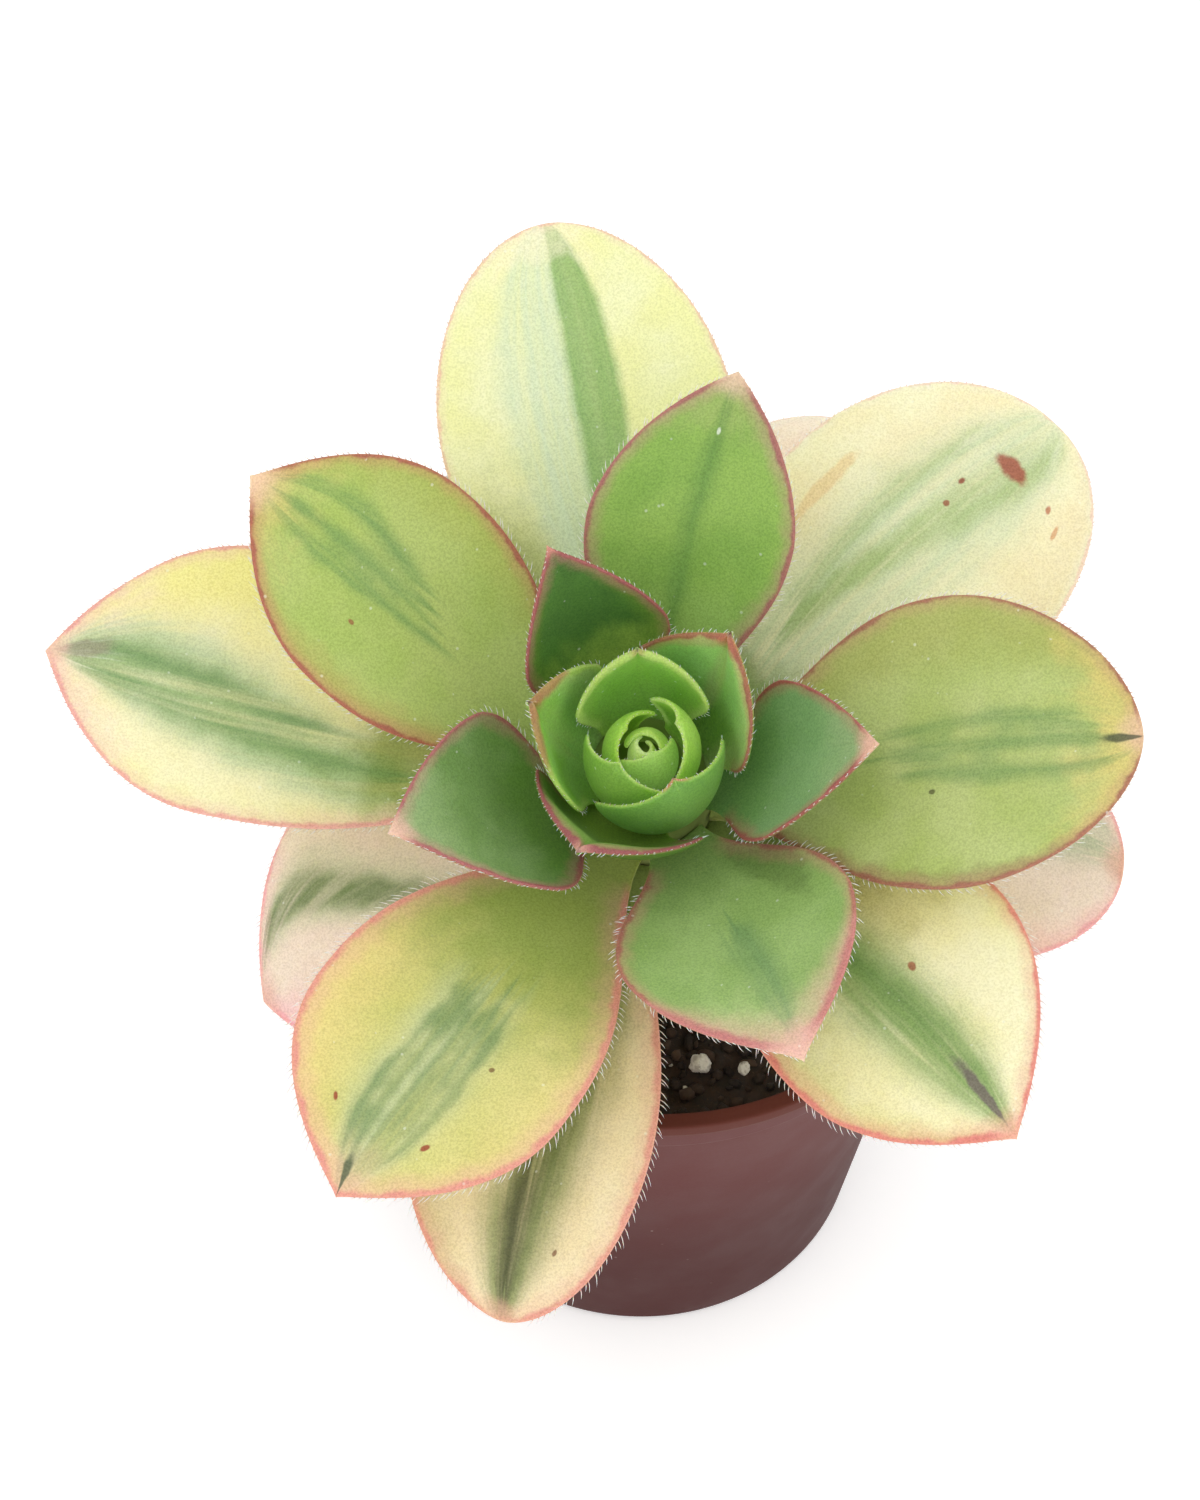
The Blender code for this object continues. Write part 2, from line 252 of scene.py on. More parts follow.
# One row for each leaf, youngest first. direction is measured round the stem, the three slopes are at
# the base, halfway and at the tip, widest is the share of the length where the leaf is broadest,
# fullness and point shape the outline from there to the tip, and curve swings the tip.
Leaf = namedtuple("Leaf", "direction length width baseSlope midSlope tipSlope widest fullness point curve")
leaves = [
    Leaf(357, 1.9, 1.6, 88, 92, 104, 0.64, 2, 1, 0),
    Leaf(217, 3, 3.6, 84, 98, 126, 0.6, 2, 1, 0),
    Leaf(77, 4.2, 5.6, 80, 104, 136, 0.55, 1.6, 1, 0),
    Leaf(297, 5.4, 7, 76, 104, 134, 0.5, 1.5, 1, 0),
    Leaf(157, 6.8, 8.6, 72, 103, 130, 0.5, 1.4, 1, 0),
    Leaf(17, 8.8, 10.2, 66, 98, 122, 0.5, 1.4, 1, 0),
    Leaf(237, 9.6, 11.8, 62, 99, 120, 0.5, 1.4, 1, 0),
    Leaf(97, 12.6, 14, 62, 95, 90, 0.5, 1.4, 1, 0),
    Leaf(300, 11.8, 15.5, 56, 98, 108, 0.5, 1.4, 1, 0),
    Leaf(174, 14.8, 15.2, 49, 95, 70, 0.5, 1.4, 1.05, 0),
    Leaf(44, 15.5, 16.5, 46, 95, 68, 0.48, 1.3, 1, 4),
    Leaf(249, 16, 18.2, 40, 92, 72, 0.5, 1.3, 1, -2),
    Leaf(117, 22.3, 15, 38, 82, 62, 0.5, 1.4, 1.3, 5),
    Leaf(356.5, 22, 16, 34, 68, 44, 0.5, 1.4, 1.1, -1.5),
    Leaf(205.5, 25, 19.5, 31, 66, 34, 0.5, 1.4, 1.1, 2.5),
    Leaf(82.3, 33.5, 19.5, 28, 59, 34, 0.6, 1.8, 1, -5.3),
    Leaf(298, 30.5, 22.8, 25, 50, 10, 0.6, 2, 1.4, -1),
    Leaf(150.7, 40, 23, 22, 46, 16, 0.62, 2.6, 1.2, -1.7),
    Leaf(4.7, 40, 28, 20, 40, 4, 0.64, 2, 0.6, -2.7),
    Leaf(239, 43.5, 26, 18, 33, -8, 0.64, 3, 1.2, 0),
    Leaf(101.3, 46.5, 27.5, 16, 32, 10, 0.64, 2, 0.55, 1.7),
    Leaf(322.5, 41, 26.5, 14, 23, -12, 0.62, 2.6, 1.2, -6.5),
    Leaf(166.8, 50, 26.5, 12, 16, -4, 0.64, 2.8, 1.1, 3.2),
    Leaf(45.5, 44.8, 30, 10, 14, -6, 0.64, 2, 0.45, 0),
    Leaf(250.5, 43.5, 23, 8, 8, -26, 0.62, 2, 0.6, 6.5),
    Leaf(121, 36, 24, 5, 2, -44, 0.64, 2, 0.7, 0),
    Leaf(356, 37.5, 23.5, 3, 2, -24, 0.64, 2, 0.5, 0),
    Leaf(199, 34.8, 30, 1, -2, -46, 0.62, 2.4, 1, 7),
    Leaf(68, 40.5, 22, -1, -6, -28, 0.64, 2, 0.6, 0),
]

rosette = {
    "apex": (-1.6, -7.0, 75.5),     # growing point, millimetres
    "leanFront": 17,                # degrees
    "leanLeft": 3,
    "rows": 84,                     # mesh rows along a leaf
    "columns": 44,                  # mesh columns across each face
    "budLeaves": 7,                 # these get half as many rows and columns
}

leafSeats = {                       # millimetres
    "firstRadius": 0.5,             # of the youngest leaf's foot round the stem's axis
    "budStep": 0.6,                 # radius gained from one bud leaf to the next
    "gain": 1.6, "gainLeaves": 5,   # what the others gain in all, most of it over so many leaves
    "budDrop": 0.46, "drop": 0.6, "dropFrom": 9,    # height lost from one leaf to the next
}

blade = {
    "thickness": 1.9, "edge": 0.32,             # of an old leaf's foot, and of the margin
    "youngShare": 0.27, "thickenLeaves": 11,    # share the youngest has, and leaves to gain the rest
    "midThinning": 0.4, "tipThinning": 0.5, "tipStart": 0.9,
    "sectionPower": 0.75,                       # lower is fuller between midrib and margin
    "footShare": 0.6, "oldFootShare": 0.24, "footNarrowing": 0.006, "footPower": 1.5,
    "grownBy": 0.7, "grownPower": 1.5,          # cup, fold, keel and ripple reach full size here
    "foldPower": 1.3,
    "flickStart": 0.55,
    "groove": 0.12, "grooveWidth": 0.12,
    "waveSize": 17.0, "rippleSize": 5.0, "rippleShare": 0.22,
}


def rosetteAxes():
    # the stem's direction and two directions square to it, as rows
    left = math.sin(math.radians(rosette["leanLeft"]))
    front = math.sin(math.radians(rosette["leanFront"]))
    axis = np.array([-left, -front, math.sqrt(1 - left**2 - front**2)])
    right = unit(np.array([1.0, 0, 0]) - axis * axis[0])
    return np.array([right, np.cross(axis, right), axis])


def leafName(order):
    # leaves are numbered from one
    return f"leaf_{order + 1:02d}"


def leafSeat(order):
    # distance from the stem's axis and height below its tip: even steps in the bud, then a slow widening
    seats, bud = leafSeats, rosette["budLeaves"]
    grown = 1 - math.exp(-max(0, order - bud) / seats["gainLeaves"])
    radius = seats["firstRadius"] + seats["budStep"] * min(order, bud) + seats["gain"] * grown
    even = min(order, seats["dropFrom"])
    return radius, -seats["budDrop"] * even - seats["drop"] * (order - even)


def midLine(order, along):
    # the slope is a three-point curve of base, middle and tip slope; its cosine and sine added up
    # along the length give the distance from the axis and the height
    leaf = leaves[order]
    fine = np.linspace(0, 1, 401)
    slope = leaf.baseSlope * (1 - fine) ** 2 + 2 * leaf.midSlope * fine * (1 - fine) + leaf.tipSlope * fine**2
    slope = np.radians(slope)
    step = leaf.length * fine[1]
    line = []
    for start, change in zip(leafSeat(order), (np.cos(slope), np.sin(slope))):
        line.append(start + step * np.concatenate([[0], np.cumsum((change[1:] + change[:-1]) / 2)]))
    return [np.interp(along, fine, values) for values in (*line, slope)]


def halfWidth(order, along):
    # rises from the foot as a power of a sine up to the widest place, then closes in a power curve;
    # cusp makes that curve run out to a sharper point
    leaf = leaves[order]
    narrowing = blade["footNarrowing"] * (order - rosette["budLeaves"] + 1) ** 2
    foot = max(blade["oldFootShare"], blade["footShare"] - narrowing)
    if order < rosette["budLeaves"]:
        foot = blade["footShare"]
    rising = np.clip(along / leaf.widest, 0, 1)
    closing = np.clip((along - leaf.widest) / (1 - leaf.widest), 0, 1)
    lower = foot + (1 - foot) * np.sin(rising * np.pi / 2) ** blade["footPower"]
    cusp = leafLooks[leafName(order)].get("cusp", 0)
    upper = (1 - closing**leaf.fullness) ** (leaf.point + cusp)
    return leaf.width / 2 * np.where(along < leaf.widest, lower, upper)


def rimDistance(order, along, across):
    # millimetres to the margin: the sideways distance shortened where the outline runs askew
    step = 1e-3
    before, after = (halfWidth(order, np.clip(along + shift, 0, 1)) for shift in (-step, step))
    change = (after - before) / (2 * step * leaves[order].length)
    sideways = (1 - np.abs(across)) * halfWidth(order, along) / np.sqrt(1 + change**2)
    return np.minimum(sideways, (1 - along) * leaves[order].length)


def thickness(order, along, across):
    # thinner towards the tip, and across the blade a power curve from the midrib down to the margin
    gained = (1 - blade["youngShare"]) * (1 - math.exp(-order / blade["thickenLeaves"]))
    base = blade["thickness"] * (blade["youngShare"] + gained)
    tipShare = np.clip((along - blade["tipStart"]) / (1 - blade["tipStart"]), 0, 1)
    midShare = np.clip(along / 0.5, 0, 1)
    thick = base * (1 - blade["midThinning"] * midShare) * (1 - blade["tipThinning"] * tipShare)
    return blade["edge"] + (thick - blade["edge"]) * (1 - across**2) ** blade["sectionPower"]


def leafLift(order, along, across, depth, look):
    # how far the blade stands off its smooth surface. Cup lifts the margins, fold lifts both halves
    # from the midrib, keel flattens them between midrib and margin, flick bends the tip back, groove
    # sinks the midrib of the upper face, and ripple adds soft seeded waves.
    width = halfWidth(order, along)
    side = width * across
    grown = np.clip(along / blade["grownBy"], 0, 1) ** blade["grownPower"]
    broad = grown * width / max(width.max(), 1e-9)      # the tip alone has no width
    lift = look.get("cup", 0) * across**2 * broad
    lift = lift + look.get("fold", 0) * np.abs(across) ** blade["foldPower"] * broad
    lift = lift + look.get("keel", 0) * np.sin(np.pi * np.abs(across)) * grown
    bent = np.clip((along - blade["flickStart"]) / (1 - blade["flickStart"]), 0, 1)
    lift = lift - look.get("flick", 0) * bent**2
    hollow = np.exp(-((across / blade["grooveWidth"]) ** 2)) * np.sin(np.pi * along) * (1 - depth)
    lift = lift - look.get("groove", blade["groove"]) * hollow
    flat = np.stack([along * leaves[order].length + 0 * side, side, 0 * side], axis=-1)
    ripple = waves(flat, blade["waveSize"], 40 + order)
    ripple = ripple + blade["rippleShare"] * waves(flat, blade["rippleSize"], 90 + order)
    return lift + look.get("ripple", 0) * grown * ripple


def leafPoints(order, along, across, depth, look):
    # a leaf wraps round the stem's axis at its own distance, and its thickness is laid off square to
    # the blade: depth 0 is the upper face and 1 the lower
    leaf = leaves[order]
    radius, height, slope = midLine(order, along)
    offset = depth * thickness(order, along, across) - leafLift(order, along, across, depth, look)
    angle = np.radians(leaf.direction + leaf.curve * along**2) + halfWidth(order, along) * across / radius
    out = radius + offset * np.sin(slope)
    up = height - offset * np.cos(slope)
    local = np.concatenate([out[..., None] * onCircle(angle), (up + 0 * angle)[..., None]], axis=-1)
    return (local @ rosetteAxes() + np.array(rosette["apex"])) * mm


# Leaf finishes. Colours are screen colours, 0 to 255. along runs from 0 at the foot to 1 at the tip and
# across from -1 to 1; widths of bands are shares of the half width, and rim widths are millimetres.
# band: colour, strength, centre at foot, centre at tip, half width at foot, at tip, softness, start, end
# rim: colour, strength, width, start, end
# blush: colour, width of a faint wide rim, then colour, strength, width of the rim on it, and a start
# wash: colour, strength, along where it starts, along where it is full
# side: colour, strength, across where it starts, across where it is full
# tip: colour, strength, distance in millimetres
# spot: colour, strength, along, across, length and width in millimetres

leafLooks = {
    "leaf_01": {
        "ground": (196, 226, 122), "blotch": (206, 232, 140), "under": (182, 216, 108), "underShare": 1.0,
        "layers": [("rim", (184, 216, 124), 0.8, 0.35, 0.1, 1.0)],
        "hair": 0.2, "groove": 0.05,
    },
    # in leaf_02 to leaf_07 the dark green wash towards the foot is painted shade deep inside the closed bud
    "leaf_02": {
        "ground": (186, 220, 104), "blotch": (200, 228, 128), "under": (198, 226, 140), "underShare": 1.0,
        "layers": [("wash", (96, 148, 20), 0.8, 0.7, 0.3), ("rim", (192, 220, 146), 0.8, 0.4, 0.1, 1.0)],
        "hair": 0.2, "groove": 0.05,
    },
    "leaf_03": {
        "ground": (166, 206, 88), "blotch": (184, 218, 112), "under": (168, 204, 100), "underShare": 1.0,
        "layers": [("wash", (84, 134, 24), 0.8, 0.8, 0.4), ("rim", (168, 202, 112), 0.8, 0.4, 0.1, 1.0)],
        "cusp": 0.2, "keel": 0.06, "hair": 0.2, "groove": 0.05,
    },
    "leaf_04": {
        "ground": (170, 208, 88), "blotch": (184, 218, 112), "under": (158, 196, 106), "underShare": 1.0,
        "layers": [
            ("wash", (88, 132, 58), 0.8, 0.65, 0.35), ("rim", (182, 212, 122), 0.85, 0.5, 0.1, 1.0),
            ("spot", (168, 132, 116), 0.7, 0.68, 0.18, 1.3, 0.9),
        ],
        "cusp": 0.3, "keel": 0.1, "hair": 0.3, "groove": 0.05,
    },
    "leaf_05": {
        "ground": (146, 190, 60), "blotch": (164, 204, 84), "under": (144, 186, 78), "underShare": 1.0,
        "layers": [("wash", (70, 112, 16), 0.7, 0.7, 0.4), ("rim", (164, 198, 92), 0.85, 0.5, 0.1, 1.0)],
        "cusp": 0.3, "keel": 0.12, "hair": 0.35, "groove": 0.05,
    },
    "leaf_06": {
        "ground": (138, 184, 70), "blotch": (158, 198, 92), "under": (148, 188, 84), "underShare": 1.0,
        "layers": [("wash", (92, 142, 42), 0.7, 0.6, 0.3), ("rim", (178, 208, 120), 0.85, 0.6, 0.1, 1.0)],
        "cusp": 0.35, "keel": 0.14, "hair": 0.4, "groove": 0.05,
    },
    "leaf_07": {
        "ground": (134, 178, 70), "blotch": (154, 192, 90), "under": (118, 158, 68), "underShare": 1.0,
        "layers": [("wash", (70, 112, 24), 0.75, 0.6, 0.3), ("rim", (172, 202, 122), 0.85, 0.6, 0.1, 1.0)],
        "cusp": 0.35, "keel": 0.14, "hair": 0.4, "groove": 0.05,
    },
    "leaf_08": {
        "ground": (126, 178, 72), "blotch": (144, 192, 90), "under": (120, 168, 70), "underShare": 0.8,
        "layers": [
            ("side", (142, 178, 84), 0.8, 0.45, 0.95), ("side", (142, 178, 84), 0.8, -0.5, -0.95),
            ("wash", (150, 176, 92), 0.6, 0.72, 0.95), ("rim", (178, 206, 118), 0.85, 0.8, 0.1, 1.0),
            ("tip", (150, 128, 88), 0.7, 1.6),
        ],
        "cusp": 0.35, "keel": 0.25, "hair": 0.5, "groove": 0.25,
    },
    "leaf_09": {
        "ground": (140, 186, 88), "blotch": (152, 194, 100), "under": (112, 156, 76), "underShare": 1.0,
        "layers": [("rim", (150, 182, 92), 0.85, 0.7, 0.1, 1.0), ("tip", (196, 104, 104), 0.85, 2.4)],
        "cusp": 0.4, "keel": 0.2, "hair": 0.5, "groove": 0.1,
    },
    "leaf_10": {
        "ground": (138, 184, 96), "blotch": (124, 176, 70), "under": (124, 166, 82), "underShare": 0.8,
        "layers": [
            ("band", (150, 180, 98), 0.6, 0, -0.1, 0.16, 0.3, 0.7, 0.2, 1),
            ("side", (164, 182, 122), 0.7, -0.3, -0.95), ("rim", (156, 190, 96), 0.85, 0.7, 0.1, 0.7),
            ("rim", (158, 112, 84), 0.85, 0.8, 0.7, 1.0), ("tip", (152, 108, 80), 0.85, 3.6),
        ],
        "cusp": 0.35, "keel": 0.35, "hair": 0.6, "groove": 0.3,
    },
    "leaf_11": {
        "ground": (136, 182, 98), "blotch": (150, 192, 114), "under": (116, 160, 74), "underShare": 0.8,
        "layers": [
            ("wash", (84, 128, 30), 0.7, 0.5, 0.2),
            ("band", (152, 164, 108), 0.7, 0.1, 0, 0.1, 0.12, 0.7, 0.25, 0.9),
            ("side", (176, 190, 128), 0.6, -0.35, -0.95),
            ("blush", (170, 102, 101), 1.02, (143, 71, 75), 0.85, 0.33, 0.25),
            ("tip", (164, 96, 84), 0.9, 3.2),
        ],
        "cusp": 0.3, "keel": 0.4, "hair": 0.65, "groove": 0.3,
    },
    "leaf_12": {
        "ground": (112, 152, 66), "blotch": (126, 162, 76), "under": (96, 134, 52), "underShare": 1.0,
        "layers": [
            ("wash", (142, 176, 72), 0.8, 0.4, 0.15),
            ("blush", (184, 112, 120), 1.19, (155, 78, 89), 0.9, 0.39, 0.2),
            ("tip", (208, 150, 138), 0.85, 1.8),
        ],
        "cusp": 0.45, "keel": 0.4, "flick": 1.7, "hair": 0.7,
    },
    "leaf_13": {
        "ground": (82, 126, 54), "blotch": (72, 112, 48), "under": (120, 142, 62),
        "layers": [
            ("side", (112, 146, 50), 0.65, 0.5, 0.95), ("side", (120, 150, 54), 0.65, -0.5, -0.95),
            ("wash", (148, 180, 76), 0.9, 0.52, 0.26),
            ("blush", (196, 124, 129), 1.27, (165, 87, 95), 0.9, 0.41, 0.2),
            ("tip", (214, 142, 132), 0.9, 1.8),
        ],
        "hair": 0.8, "cup": 0.9,
    },
    "leaf_14": {
        "ground": (130, 168, 110), "blotch": (118, 158, 98), "under": (150, 174, 100),
        "layers": [
            ("wash", (112, 158, 84), 0.8, 0.5, 0.2), ("wash", (156, 178, 128), 0.6, 0.6, 0.88),
            ("blush", (190, 112, 110), 1.27, (160, 78, 82), 0.9, 0.41, 0.15),
            ("tip", (229, 178, 160), 0.95, 3.4),
        ],
        "hair": 0.8, "cup": 0.7, "ripple": 0.12,
    },
    "leaf_15": {
        "ground": (118, 152, 86), "blotch": (140, 172, 110), "under": (160, 178, 104),
        "layers": [
            ("wash", (102, 146, 58), 0.85, 0.55, 0.22), ("wash", (154, 180, 124), 0.6, 0.6, 0.86),
            ("blush", (204, 136, 140), 1.36, (171, 95, 103), 0.9, 0.44, 0.1),
            ("tip", (236, 190, 172), 0.95, 3.4),
        ],
        "hair": 0.85, "cup": 0.7, "ripple": 0.14,
    },
    "leaf_16": {
        "ground": (148, 184, 88), "blotch": (132, 172, 78), "under": (170, 186, 120),
        "layers": [
            ("wash", (154, 188, 102), 0.7, 0.5, 0.2), ("wash", (168, 182, 112), 0.6, 0.78, 0.96),
            ("band", (92, 136, 66), 0.64, 0.1, -0.06, 0.115, 0.108, 0.95, 0.28, 0.96),
            ("blush", (196, 138, 138), 1.53, (165, 97, 102), 0.9, 0.5, 0.1),
            ("tip", (228, 196, 172), 0.85, 3.2), ("spot", (232, 240, 220), 0.8, 0.83, -0.03, 0.5, 0.4),
        ],
        "hair": 0.85, "cup": 0.8, "ripple": 0.16,
    },
    "leaf_17": {
        "ground": (142, 174, 98), "blotch": (156, 186, 112), "under": (196, 196, 144),
        "layers": [
            ("wash", (112, 146, 72), 0.6, 0.4, 0.12), ("wash", (188, 200, 140), 0.75, 0.68, 0.88),
            ("band", (98, 136, 90), 0.65, 0, 0.06, 0.1, 0.15, 0.7, 0.42, 0.93),
            ("spot", (90, 114, 58), 0.5, 0.3, 0.75, 7.0, 3.5),
            ("blush", (206, 147, 133), 1.53, (173, 103, 98), 0.9, 0.5, 0.1),
            ("blush", (232, 174, 165), 3.4, (195, 122, 122), 0.9, 1.1, 0.72),
            ("tip", (238, 188, 174), 0.95, 5.0),
        ],
        "hair": 0.95, "cup": 0.9, "ripple": 0.14,
    },
    "leaf_18": {
        "ground": (168, 190, 96), "blotch": (180, 196, 112), "under": (206, 200, 130),
        "layers": [
            ("wash", (184, 204, 122), 0.5, 0.5, 0.2), ("side", (170, 176, 82), 0.6, -0.45, -0.95),
            ("wash", (212, 196, 122), 0.7, 0.8, 0.96), ("side", (190, 160, 96), 0.5, 0.65, 0.98),
            ("band", (96, 142, 80), 0.68, 0.27, -0.58, 0.057, 0.084, 0.95, 0.46, 0.9),
            ("band", (96, 142, 80), 0.68, 0, -0.1, 0.057, 0.072, 0.95, 0.46, 0.95),
            ("band", (96, 142, 80), 0.68, 0.05, 0.15, 0.057, 0.072, 0.95, 0.46, 0.88),
            ("blush", (196, 128, 106), 1.36, (165, 89, 79), 0.9, 0.44, 0.1),
            ("tip", (242, 202, 172), 0.9, 3.8), ("spot", (150, 84, 50), 0.8, 0.64, 0.4, 0.35, 0.25),
        ],
        "hair": 0.85, "ripple": 0.2,
    },
    "leaf_19": {
        "ground": (174, 190, 108), "blotch": (186, 198, 126), "under": (204, 196, 140),
        "layers": [
            ("side", (164, 166, 82), 0.6, 0.35, 0.8), ("side", (126, 116, 70), 0.5, -0.82, -0.98),
            ("wash", (222, 200, 120), 0.7, 0.8, 0.99),
            ("band", (94, 138, 78), 0.68, 0, -0.32, 0.046, 0.072, 0.95, 0.42, 0.94),
            ("band", (94, 138, 78), 0.68, 0.03, -0.06, 0.057, 0.06, 0.95, 0.4, 0.97),
            ("band", (94, 138, 78), 0.64, 0.12, 0.14, 0.046, 0.06, 0.95, 0.42, 0.86),
            ("blush", (190, 141, 117), 1.36, (160, 99, 87), 0.9, 0.44, 0.1),
            ("tip", (228, 190, 160), 0.75, 3.0), ("spot", (70, 78, 54), 0.85, 0.955, -0.06, 2.4, 1.1),
            ("spot", (84, 84, 48), 0.85, 0.53, -0.32, 0.45, 0.4),
        ],
        "hair": 0.8, "ripple": 0.2,
    },
    "leaf_20": {
        "ground": (206, 204, 118), "blotch": (218, 212, 134), "under": (222, 204, 150),
        "layers": [
            ("side", (238, 212, 138), 0.7, -0.3, -0.9), ("side", (234, 212, 142), 0.6, 0.4, 0.95),
            ("band", (188, 202, 158), 0.75, 0, -0.02, 0.24, 0.36, 0.5, 0.45, 1.1),
            ("wash", (144, 165, 78), 0.85, 0.66, 0.26),
            ("band", (88, 128, 70), 0.68, -0.02, -0.3, 0.04, 0.06, 0.95, 0.42, 1.1),
            ("band", (88, 128, 70), 0.68, -0.02, -0.15, 0.034, 0.06, 0.95, 0.46, 1.1),
            ("band", (88, 128, 70), 0.64, 0.05, 0, 0.034, 0.048, 0.95, 0.5, 0.97),
            ("band", (88, 128, 70), 0.64, 0.12, 0.12, 0.034, 0.048, 0.95, 0.44, 0.93),
            ("band", (88, 128, 70), 0.6, 0.2, 0.27, 0.034, 0.048, 0.95, 0.5, 0.9),
            ("tip", (242, 206, 168), 0.55, 7.0),
            ("blush", (232, 172, 156), 2.21, (225, 144, 137), 0.92, 0.72, 0.1),
            ("spot", (72, 90, 62), 0.85, 0.955, -0.12, 2.6, 1.6),
            ("spot", (154, 52, 34), 0.9, 0.84, -0.48, 0.45, 0.4),
            ("spot", (154, 52, 34), 0.9, 0.83, 0.38, 0.45, 0.4),
            ("spot", (120, 80, 40), 0.8, 0.62, 0.36, 0.3, 0.3),
        ],
        "hair": 1.05, "fold": 0.7, "ripple": 0.16,
    },
    "leaf_21": {
        "ground": (238, 238, 172), "blotch": (241, 242, 192), "under": (240, 236, 184),
        "layers": [
            ("wash", (176, 188, 112), 0.7, 0.6, 0.32),
            ("band", (212, 227, 196), 0.85, 0.2, 0.28, 0.24, 0.26, 0.5, 0.3, 1.1),
            ("band", (136, 176, 98), 0.92, -0.05, -0.12, 0.16, 0.16, 0.3, 0.2, 1.1),
            ("wash", (250, 240, 208), 0.5, 0.9, 1.0),
            ("blush", (238, 216, 190), 0.85, (233, 182, 167), 0.8, 0.28, 0.1),
        ],
        "hair": 0.6, "ripple": 0.22,
    },
    "leaf_22": {
        "ground": (245, 236, 182), "blotch": (248, 241, 200), "under": (240, 226, 176),
        "layers": [
            ("side", (206, 196, 112), 0.6, -0.5, -0.95), ("wash", (190, 180, 96), 0.6, 0.6, 0.4),
            ("band", (182, 198, 138), 0.75, -0.2, -0.06, 0.32, 0.34, 0.6, 0.2, 1.1),
            ("band", (124, 158, 84), 0.9, -0.2, -0.04, 0.26, 0.22, 0.7, 0.2, 0.97),
            ("band", (108, 142, 76), 0.56, -0.12, 0, 0.069, 0.06, 0.95, 0.3, 0.9),
            ("blush", (228, 147, 138), 1.87, (221, 124, 121), 0.9, 0.61, 0.1),
            ("tip", (236, 176, 156), 0.7, 3.2), ("spot", (112, 98, 96), 0.85, 0.87, -0.06, 4.6, 1.15),
            ("spot", (160, 84, 56), 0.85, 0.58, 0.17, 0.5, 0.4),
        ],
        "hair": 0.95, "ripple": 0.2,
    },
    "leaf_23": {
        "ground": (247, 236, 178), "blotch": (248, 240, 194), "under": (240, 230, 180),
        "layers": [
            ("side", (245, 234, 146), 0.85, -0.2, -0.7), ("wash", (248, 220, 202), 0.6, 0.78, 0.98),
            ("band", (196, 212, 178), 0.85, 1, -0.2, 0.3, 0.42, 0.5, 0.3, 1.1),
            ("band", (150, 182, 104), 0.7, 1, -0.15, 0.2, 0.3, 0.7, 0.3, 0.95),
            ("wash", (152, 164, 72), 0.75, 0.5, 0.3),
            ("band", (98, 140, 82), 0.68, 0.63, -0.18, 0.057, 0.096, 0.95, 0.4, 1),
            ("band", (104, 146, 84), 0.68, 0.75, 0.13, 0.069, 0.096, 0.95, 0.35, 0.94),
            ("spot", (156, 150, 124), 0.75, 0.93, -0.1, 3.0, 2.4),
            ("blush", (238, 187, 177), 1.53, (231, 157, 155), 0.9, 0.5, 0.1),
            ("tip", (236, 190, 170), 0.7, 2.6),
        ],
        "hair": 0.8, "ripple": 0.24,
    },
    "leaf_24": {
        "ground": (248, 241, 202), "blotch": (246, 233, 190), "under": (244, 234, 196),
        "layers": [
            ("side", (236, 218, 182), 0.6, -0.5, -0.95),
            ("band", (204, 218, 178), 0.85, 0.25, -0.04, 0.34, 0.46, 0.5, 0.2, 1.1),
            ("band", (150, 180, 98), 0.65, 0.58, -0.32, 0.07, 0.12, 0.8, 0.3, 0.97),
            ("band", (150, 180, 98), 0.52, 0.35, -0.08, 0.069, 0.072, 0.95, 0.25, 0.9),
            ("band", (146, 178, 96), 0.52, 0.38, 0.3, 0.057, 0.072, 0.95, 0.3, 0.9),
            ("spot", (236, 200, 140), 0.6, 0.6, 0.68, 5.0, 0.9),
            ("blush", (238, 229, 208), 1.02, (238, 193, 184), 0.7, 0.33, 0.1),
            ("spot", (164, 84, 66), 0.92, 0.865, -0.07, 1.2, 3.0),
            ("spot", (150, 72, 52), 0.9, 0.77, 0.1, 0.5, 0.4),
            ("spot", (156, 80, 56), 0.85, 0.715, 0.06, 0.4, 0.4),
            ("spot", (188, 100, 64), 0.8, 0.86, -0.5, 0.5, 0.5),
            ("spot", (214, 150, 96), 0.7, 0.84, -0.64, 0.8, 0.4),
        ],
        "hair": 0.5, "ripple": 0.26,
    },
    "leaf_25": {
        "ground": (240, 220, 176), "blotch": (242, 224, 186), "under": (236, 214, 176),
        "layers": [
            ("side", (192, 172, 112), 0.6, -0.4, -0.95),
            ("band", (132, 146, 84), 0.85, 0.55, 0.02, 0.3, 0.34, 0.6, 0.2, 1.1),
            ("band", (92, 108, 54), 0.75, 0.5, 0.04, 0.16, 0.18, 0.8, 0.3, 1),
            ("band", (66, 60, 40), 0.68, 0.3, 0.02, 0.069, 0.108, 0.95, 0.66, 1),
            ("blush", (230, 174, 156), 2.04, (223, 146, 137), 0.9, 0.66, 0.1),
            ("tip", (214, 168, 142), 0.7, 2.6), ("spot", (120, 70, 44), 0.8, 0.84, 0.5, 0.4, 0.3),
        ],
        "hair": 1.0, "ripple": 0.2,
    },
    "leaf_26": {
        "ground": (206, 198, 160), "blotch": (214, 200, 172), "under": (206, 192, 156),
        "layers": [
            ("band", (142, 154, 98), 0.8, 0, 0, 0.2, 0.3, 0.6, 0.1, 1),
            ("blush", (228, 187, 177), 1.53, (221, 157, 155), 0.9, 0.5, 0.1),
        ],
        "hair": 0.8, "ripple": 0.2,
    },
    "leaf_27": {
        "ground": (240, 220, 206), "blotch": (236, 216, 198), "under": (234, 214, 196),
        "layers": [
            ("band", (176, 188, 150), 0.85, 0.3, 0.3, 0.3, 0.34, 0.6, 0.2, 1),
            ("side", (244, 200, 190), 0.8, -0.5, -0.98),
